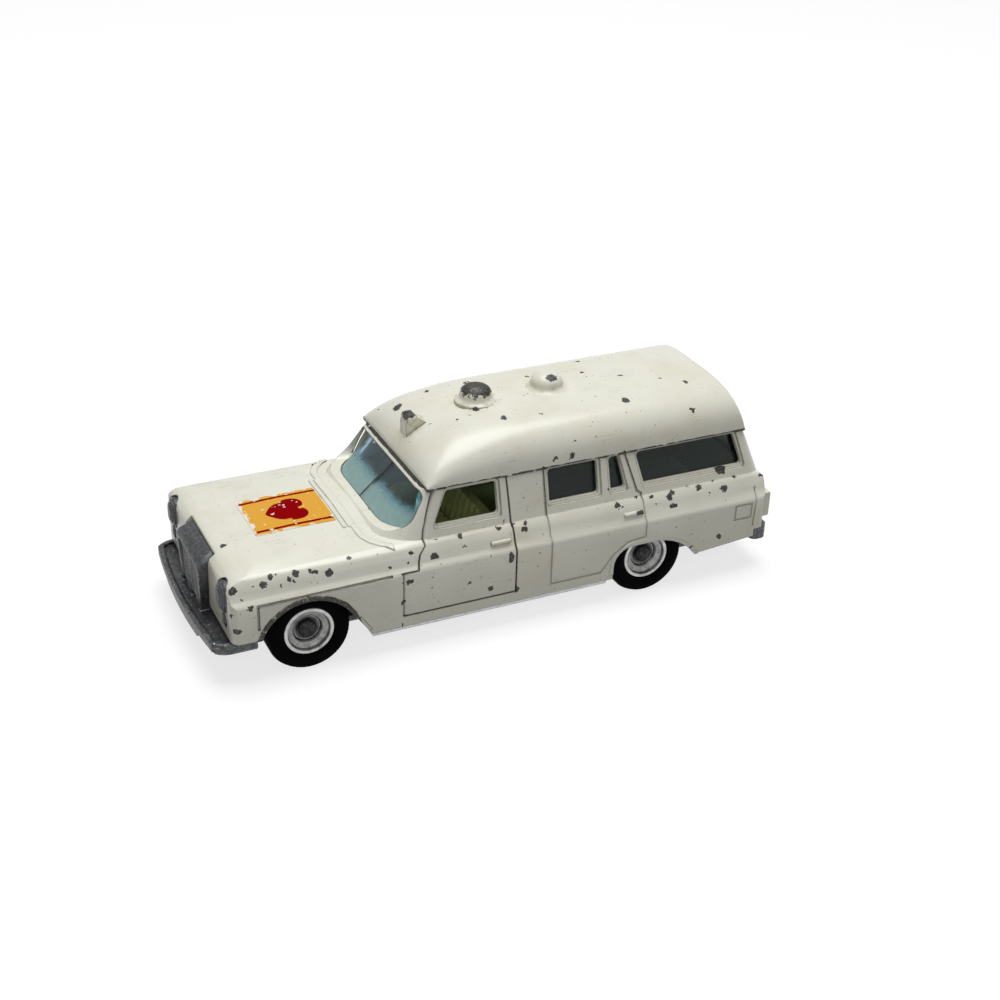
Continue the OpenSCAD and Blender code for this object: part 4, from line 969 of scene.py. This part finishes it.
@dataclass(frozen=True)
class Melt(Region):
    """A region whose faces run into one another like a worn casting."""

    cuts: int = 3
    passes: int = 1

    def apply(self, shape: BMesh, _crease: float) -> None:
        """Divides the region's edges and relaxes its points."""
        bmesh.ops.subdivide_edges(shape, edges=self.edges(shape), cuts=self.cuts, use_grid_fill=True)
        inside = [vert for vert in shape.verts if self.holds(vert)]
        for _ in range(self.passes):
            bmesh.ops.smooth_vert(
                shape, verts=inside, factor=0.5, use_axis_x=True, use_axis_y=True, use_axis_z=True
            )


@dataclass(frozen=True)
class Softening:
    """How a cast or moulded node's edges are eased in the visual model."""

    crease: float = 32.0
    eased: tuple[Union[Round, Melt], ...] = ()
    merge: float = 0.002


class CastPiece:
    """A CAD node's shape, merged, with smooth faces and eased edges."""

    def __init__(self, node: str, name: str, softening: Softening) -> None:
        """Keeps what the piece stands for and how it is eased."""
        self.node = node
        self.name = name
        self.softening = softening

    def build(self) -> Object:
        """Makes the piece and hides its CAD node.

        Returns:
            The new object.
        """
        shape = bmesh.new()
        shape.from_mesh(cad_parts[self.node].data)
        bmesh.ops.remove_doubles(shape, verts=shape.verts, dist=self.softening.merge * MM)
        bmesh.ops.dissolve_limit(
            shape, angle_limit=math.radians(0.4), verts=shape.verts, edges=shape.edges, delimit=set()
        )
        crease = math.radians(self.softening.crease)
        for region in self.softening.eased:
            region.apply(shape, crease)
        for face in shape.faces:
            face.smooth = True
        for edge in shape.edges:
            edge.smooth = edge.calc_face_angle(math.pi) < crease
        piece = add_object(self.name, shape)
        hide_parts(self.node)
        return piece


@dataclass
class PaintedBody:
    """The enamelled castings: shell, doors and tailgate."""

    spot_lamp: Melt = Melt((8.4, -1.75, 32.95), (12.6, 1.75, 36.0))

    def build(self, finishes: Finishes) -> None:
        """Makes the four painted pieces."""
        soft = Softening(crease=34.0, eased=(self.spot_lamp,))
        parts = (
            ("body_shell", "painted_shell", Body.SHELL),
            ("left_door", "painted_left_door", Body.LEFT_DOOR),
            ("right_door", "painted_right_door", Body.RIGHT_DOOR),
            ("tailgate", "painted_tailgate", Body.GATE),
        )
        for node, name, body in parts:
            piece = CastPiece(node, name, soft).build()
            settle(piece, body, finishes.enamel)


@dataclass
class Glazing:
    """The clear mouldings behind the window openings, and the screen's centre rib in painted shade."""

    rib_width: float = 0.36
    rib_proud: float = 0.05
    rib_back: float = 13.2

    def build_rib(self, finishes: Finishes) -> None:
        """Cuts a thin slice out of the windscreen's middle and lets it stand a little proud."""
        shape = bmesh.new()
        shape.from_mesh(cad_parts["window_unit"].data)
        bmesh.ops.remove_doubles(shape, verts=shape.verts, dist=0.002 * MM)
        half = self.rib_width / 2 * MM
        cuts = (
            ((0.0, half, 0.0), (0.0, 1.0, 0.0)),
            ((0.0, -half, 0.0), (0.0, -1.0, 0.0)),
            ((self.rib_back * MM, 0.0, 0.0), (-1.0, 0.0, 0.0)),
        )
        for place, outward in cuts:
            everything = shape.verts[:] + shape.edges[:] + shape.faces[:]
            bmesh.ops.bisect_plane(shape, geom=everything, plane_co=place, plane_no=outward, clear_outer=True)
            rims = [edge for edge in shape.edges if edge.is_boundary]
            bmesh.ops.holes_fill(shape, edges=rims, sides=0)
        bmesh.ops.recalc_face_normals(shape, faces=shape.faces)
        shape.normal_update()
        for vert in shape.verts:
            vert.co += vert.normal * self.rib_proud * MM
        # The rib shows painted shade: it is cut from the clear moulding and given the near-black finish.
        settle(add_object("screen_centre_rib", shape), Body.SHELL, finishes.shaded_rib)

    def build(self, finishes: Finishes) -> None:
        """Makes the window unit, the tailgate's pane and the rib."""
        soft = Softening(crease=30.0)
        for node, name, body in (
            ("window_unit", "clear_window_unit", Body.SHELL),
            ("tailgate_window", "clear_tailgate_pane", Body.GATE),
        ):
            settle(CastPiece(node, name, soft).build(), body, finishes.glazing)
        self.build_rib(finishes)


class Interior:
    """Floor, bench, steering wheel and stretcher."""

    def build(self, finishes: Finishes) -> None:
        """Makes the inside pieces."""
        soft = Softening(crease=40.0)
        for node, name, slot, finish in (
            ("interior_moulding", "ribbed_interior", "olive_plastic", finishes.olive),
            ("steering_wheel", "steering_ring", "olive_plastic", finishes.olive),
            ("stretcher", "carried_stretcher", "pale_plastic", finishes.pale),
        ):
            settle(CastPiece(node, name, soft).build(), Body.SHELL, finish)


@dataclass
class Base:
    """The bare base casting with grille and bumpers, and its rivets."""

    bumper: Round = Round((46.5, -21.0, 6.0), (60.0, 21.0, 8.6), 0.45)
    grille_top: Round = Round((45.0, -8.0, 16.0), (60.0, 8.0, 20.0), 0.6)
    rear_bumper: Round = Round((-60.0, -21.0, 5.0), (-50.9, 21.0, 9.0), 0.8)
    merge: float = 0.03

    def build(self, finishes: Finishes) -> None:
        """Makes the base and its fastenings."""
        eased = (self.bumper, self.grille_top, self.rear_bumper)
        soft = Softening(crease=32.0, eased=eased, merge=self.merge)
        plate = CastPiece("base_plate", "bare_base", soft).build()
        settle(plate, Body.SHELL, finishes.casting)
        rivets = CastPiece("base_rivets", "peened_rivets", Softening(crease=32.0)).build()
        settle(rivets, Body.SHELL, finishes.casting)


class RunningGear:
    """Axles, hubs and tyres."""

    def build(self, finishes: Finishes) -> None:
        """Makes the four wheels and the two axles."""
        soft = Softening(crease=28.0)
        for end in ("front", "rear"):
            axle = CastPiece(f"{end}_axle", f"{end}_axle_rod", soft).build()
            settle(axle, Body.SHELL, finishes.axle)
            for side in ("left", "right"):
                body = Body(f"{end}_{side}_wheel")
                hub = CastPiece(f"{end}_{side}_hub", f"{end}_{side}_turned_hub", soft).build()
                settle(hub, body, finishes.hub)
                tyre = CastPiece(f"{end}_{side}_tyre", f"{end}_{side}_rubber", soft).build()
                settle(tyre, body, finishes.tyre)


class BonnetLabel:
    """The film stuck to the bonnet."""

    def build(self, finishes: Finishes) -> None:
        """Makes the label."""
        piece = CastPiece("bonnet_label", "bonnet_film", Softening(crease=30.0)).build()
        settle(piece, Body.SHELL, finishes.label)


@dataclass(frozen=True)
class SoftBox:
    """A square lamp: its place and side in metres, its output in watts."""

    name: str
    place: Point
    size: float
    power: float


@dataclass
class Portrait:
    """Floor, light and the camera at the photograph's angle."""

    azimuth: float = 154.204
    elevation: float = 28.771
    roll: float = 1.71
    distance: float = 292.37
    target: Point = (-6.323, 1.473, 14.458)
    focal_pixels: float = 1609.4
    sensor: float = 36.0
    floor_size: float = 6.0
    floor_tone: Colour = (0.30, 0.30, 0.30)
    floor_lift: float = 0.74
    sky_level: float = 0.13
    near_clip: float = 0.005
    overhead: SoftBox = SoftBox("overhead_soft_box", (-0.08, -0.12, 1.1), 0.8, 11.5)
    beside: SoftBox = SoftBox("side_soft_box", (0.35, 1.0, 0.75), 0.6, 2.8)

    def seen_directly(self, graph: Graph) -> Socket:
        """Returns 1 for rays that show the background itself: camera, glossy and transmitted ones."""
        path = graph.add("ShaderNodeLightPath")
        shown = graph.most(path.outputs["Is Camera Ray"], path.outputs["Is Glossy Ray"])
        return graph.most(shown, path.outputs["Is Transmission Ray"])

    def build_floor(self) -> None:
        """Makes the pale floor, which keeps the toy's shadow."""
        shape = bmesh.new()
        bmesh.ops.create_grid(shape, x_segments=1, y_segments=1, size=self.floor_size / 2)
        floor = add_object("pale_floor", shape)
        material, graph, shader, output = new_material("pale_floor")
        graph.feed(shader.inputs["Base Color"], self.floor_tone)
        shader.inputs["Roughness"].default_value = 0.9
        shader.inputs["Specular IOR Level"].default_value = 0.0
        lift = graph.times(self.seen_directly(graph), self.floor_lift)
        glow = graph.add("ShaderNodeEmission", {"Strength": lift})
        both = graph.add("ShaderNodeAddShader")
        graph.feed(both.inputs[0], shader.outputs[0])
        graph.feed(both.inputs[1], glow.outputs[0])
        graph.feed(output.inputs["Surface"], both.outputs[0])
        floor.data.materials.append(material)

    def build_sky(self) -> None:
        """Makes a white surround that lights the toy only gently."""
        world = bpy.data.worlds.new("studio")
        world.use_nodes = True
        world.node_tree.nodes.clear()
        graph = Graph(world.node_tree)
        level = graph.blend(self.seen_directly(graph), self.sky_level, 1.0)
        background = graph.add("ShaderNodeBackground", {"Strength": level})
        output = graph.add("ShaderNodeOutputWorld")
        graph.feed(output.inputs["Surface"], background.outputs[0])
        bpy.context.scene.world = world

    def build_lamp(self, box: SoftBox) -> None:
        """Makes one soft square lamp that faces the toy."""
        light = bpy.data.lights.new(box.name, "AREA")
        light.size = box.size
        light.energy = box.power
        lamp = bpy.data.objects.new(box.name, light)
        lamp.location = box.place
        lamp.rotation_euler = (-Vector(box.place)).to_track_quat("-Z", "Y").to_euler()
        bpy.context.scene.collection.objects.link(lamp)

    def build_camera(self) -> None:
        """Makes the camera and gives it to the scene."""
        a, e, r = (math.radians(v) for v in (self.azimuth, self.elevation, self.roll))
        back = Vector((math.sin(a) * math.cos(e), -math.cos(a) * math.cos(e), math.sin(e)))
        level = Vector((math.cos(a), math.sin(a), 0.0))
        upright = back.cross(level)
        right = level * math.cos(r) + upright * math.sin(r)
        up = upright * math.cos(r) - level * math.sin(r)
        place = (Vector(self.target) + back * self.distance) * MM
        data = bpy.data.cameras.new("portrait_camera")
        data.sensor_width = self.sensor
        data.lens = self.focal_pixels / IMAGE_PIXELS * self.sensor
        data.clip_start = self.near_clip
        camera = bpy.data.objects.new("portrait_camera", data)
        axes = Matrix((right, up, back)).transposed().to_4x4()
        camera.matrix_world = Matrix.Translation(place) @ axes
        bpy.context.scene.collection.objects.link(camera)
        bpy.context.scene.camera = camera

    def build(self) -> None:
        """Makes the whole stage."""
        self.build_floor()
        self.build_sky()
        self.build_lamp(self.overhead)
        self.build_lamp(self.beside)
        self.build_camera()
        bpy.context.scene.view_settings.view_transform = "Standard"


def main() -> None:
    """Builds the toy piece by piece, then its portrait."""
    logging.basicConfig(level=logging.INFO, format="%(name)s: %(message)s")
    finishes = Finishes()
    Portrait().build()
    for assembly in (PaintedBody(), Glazing(), Interior(), Base(), RunningGear(), BonnetLabel()):
        assembly.build(finishes)


if __name__ == "__main__":
    main()
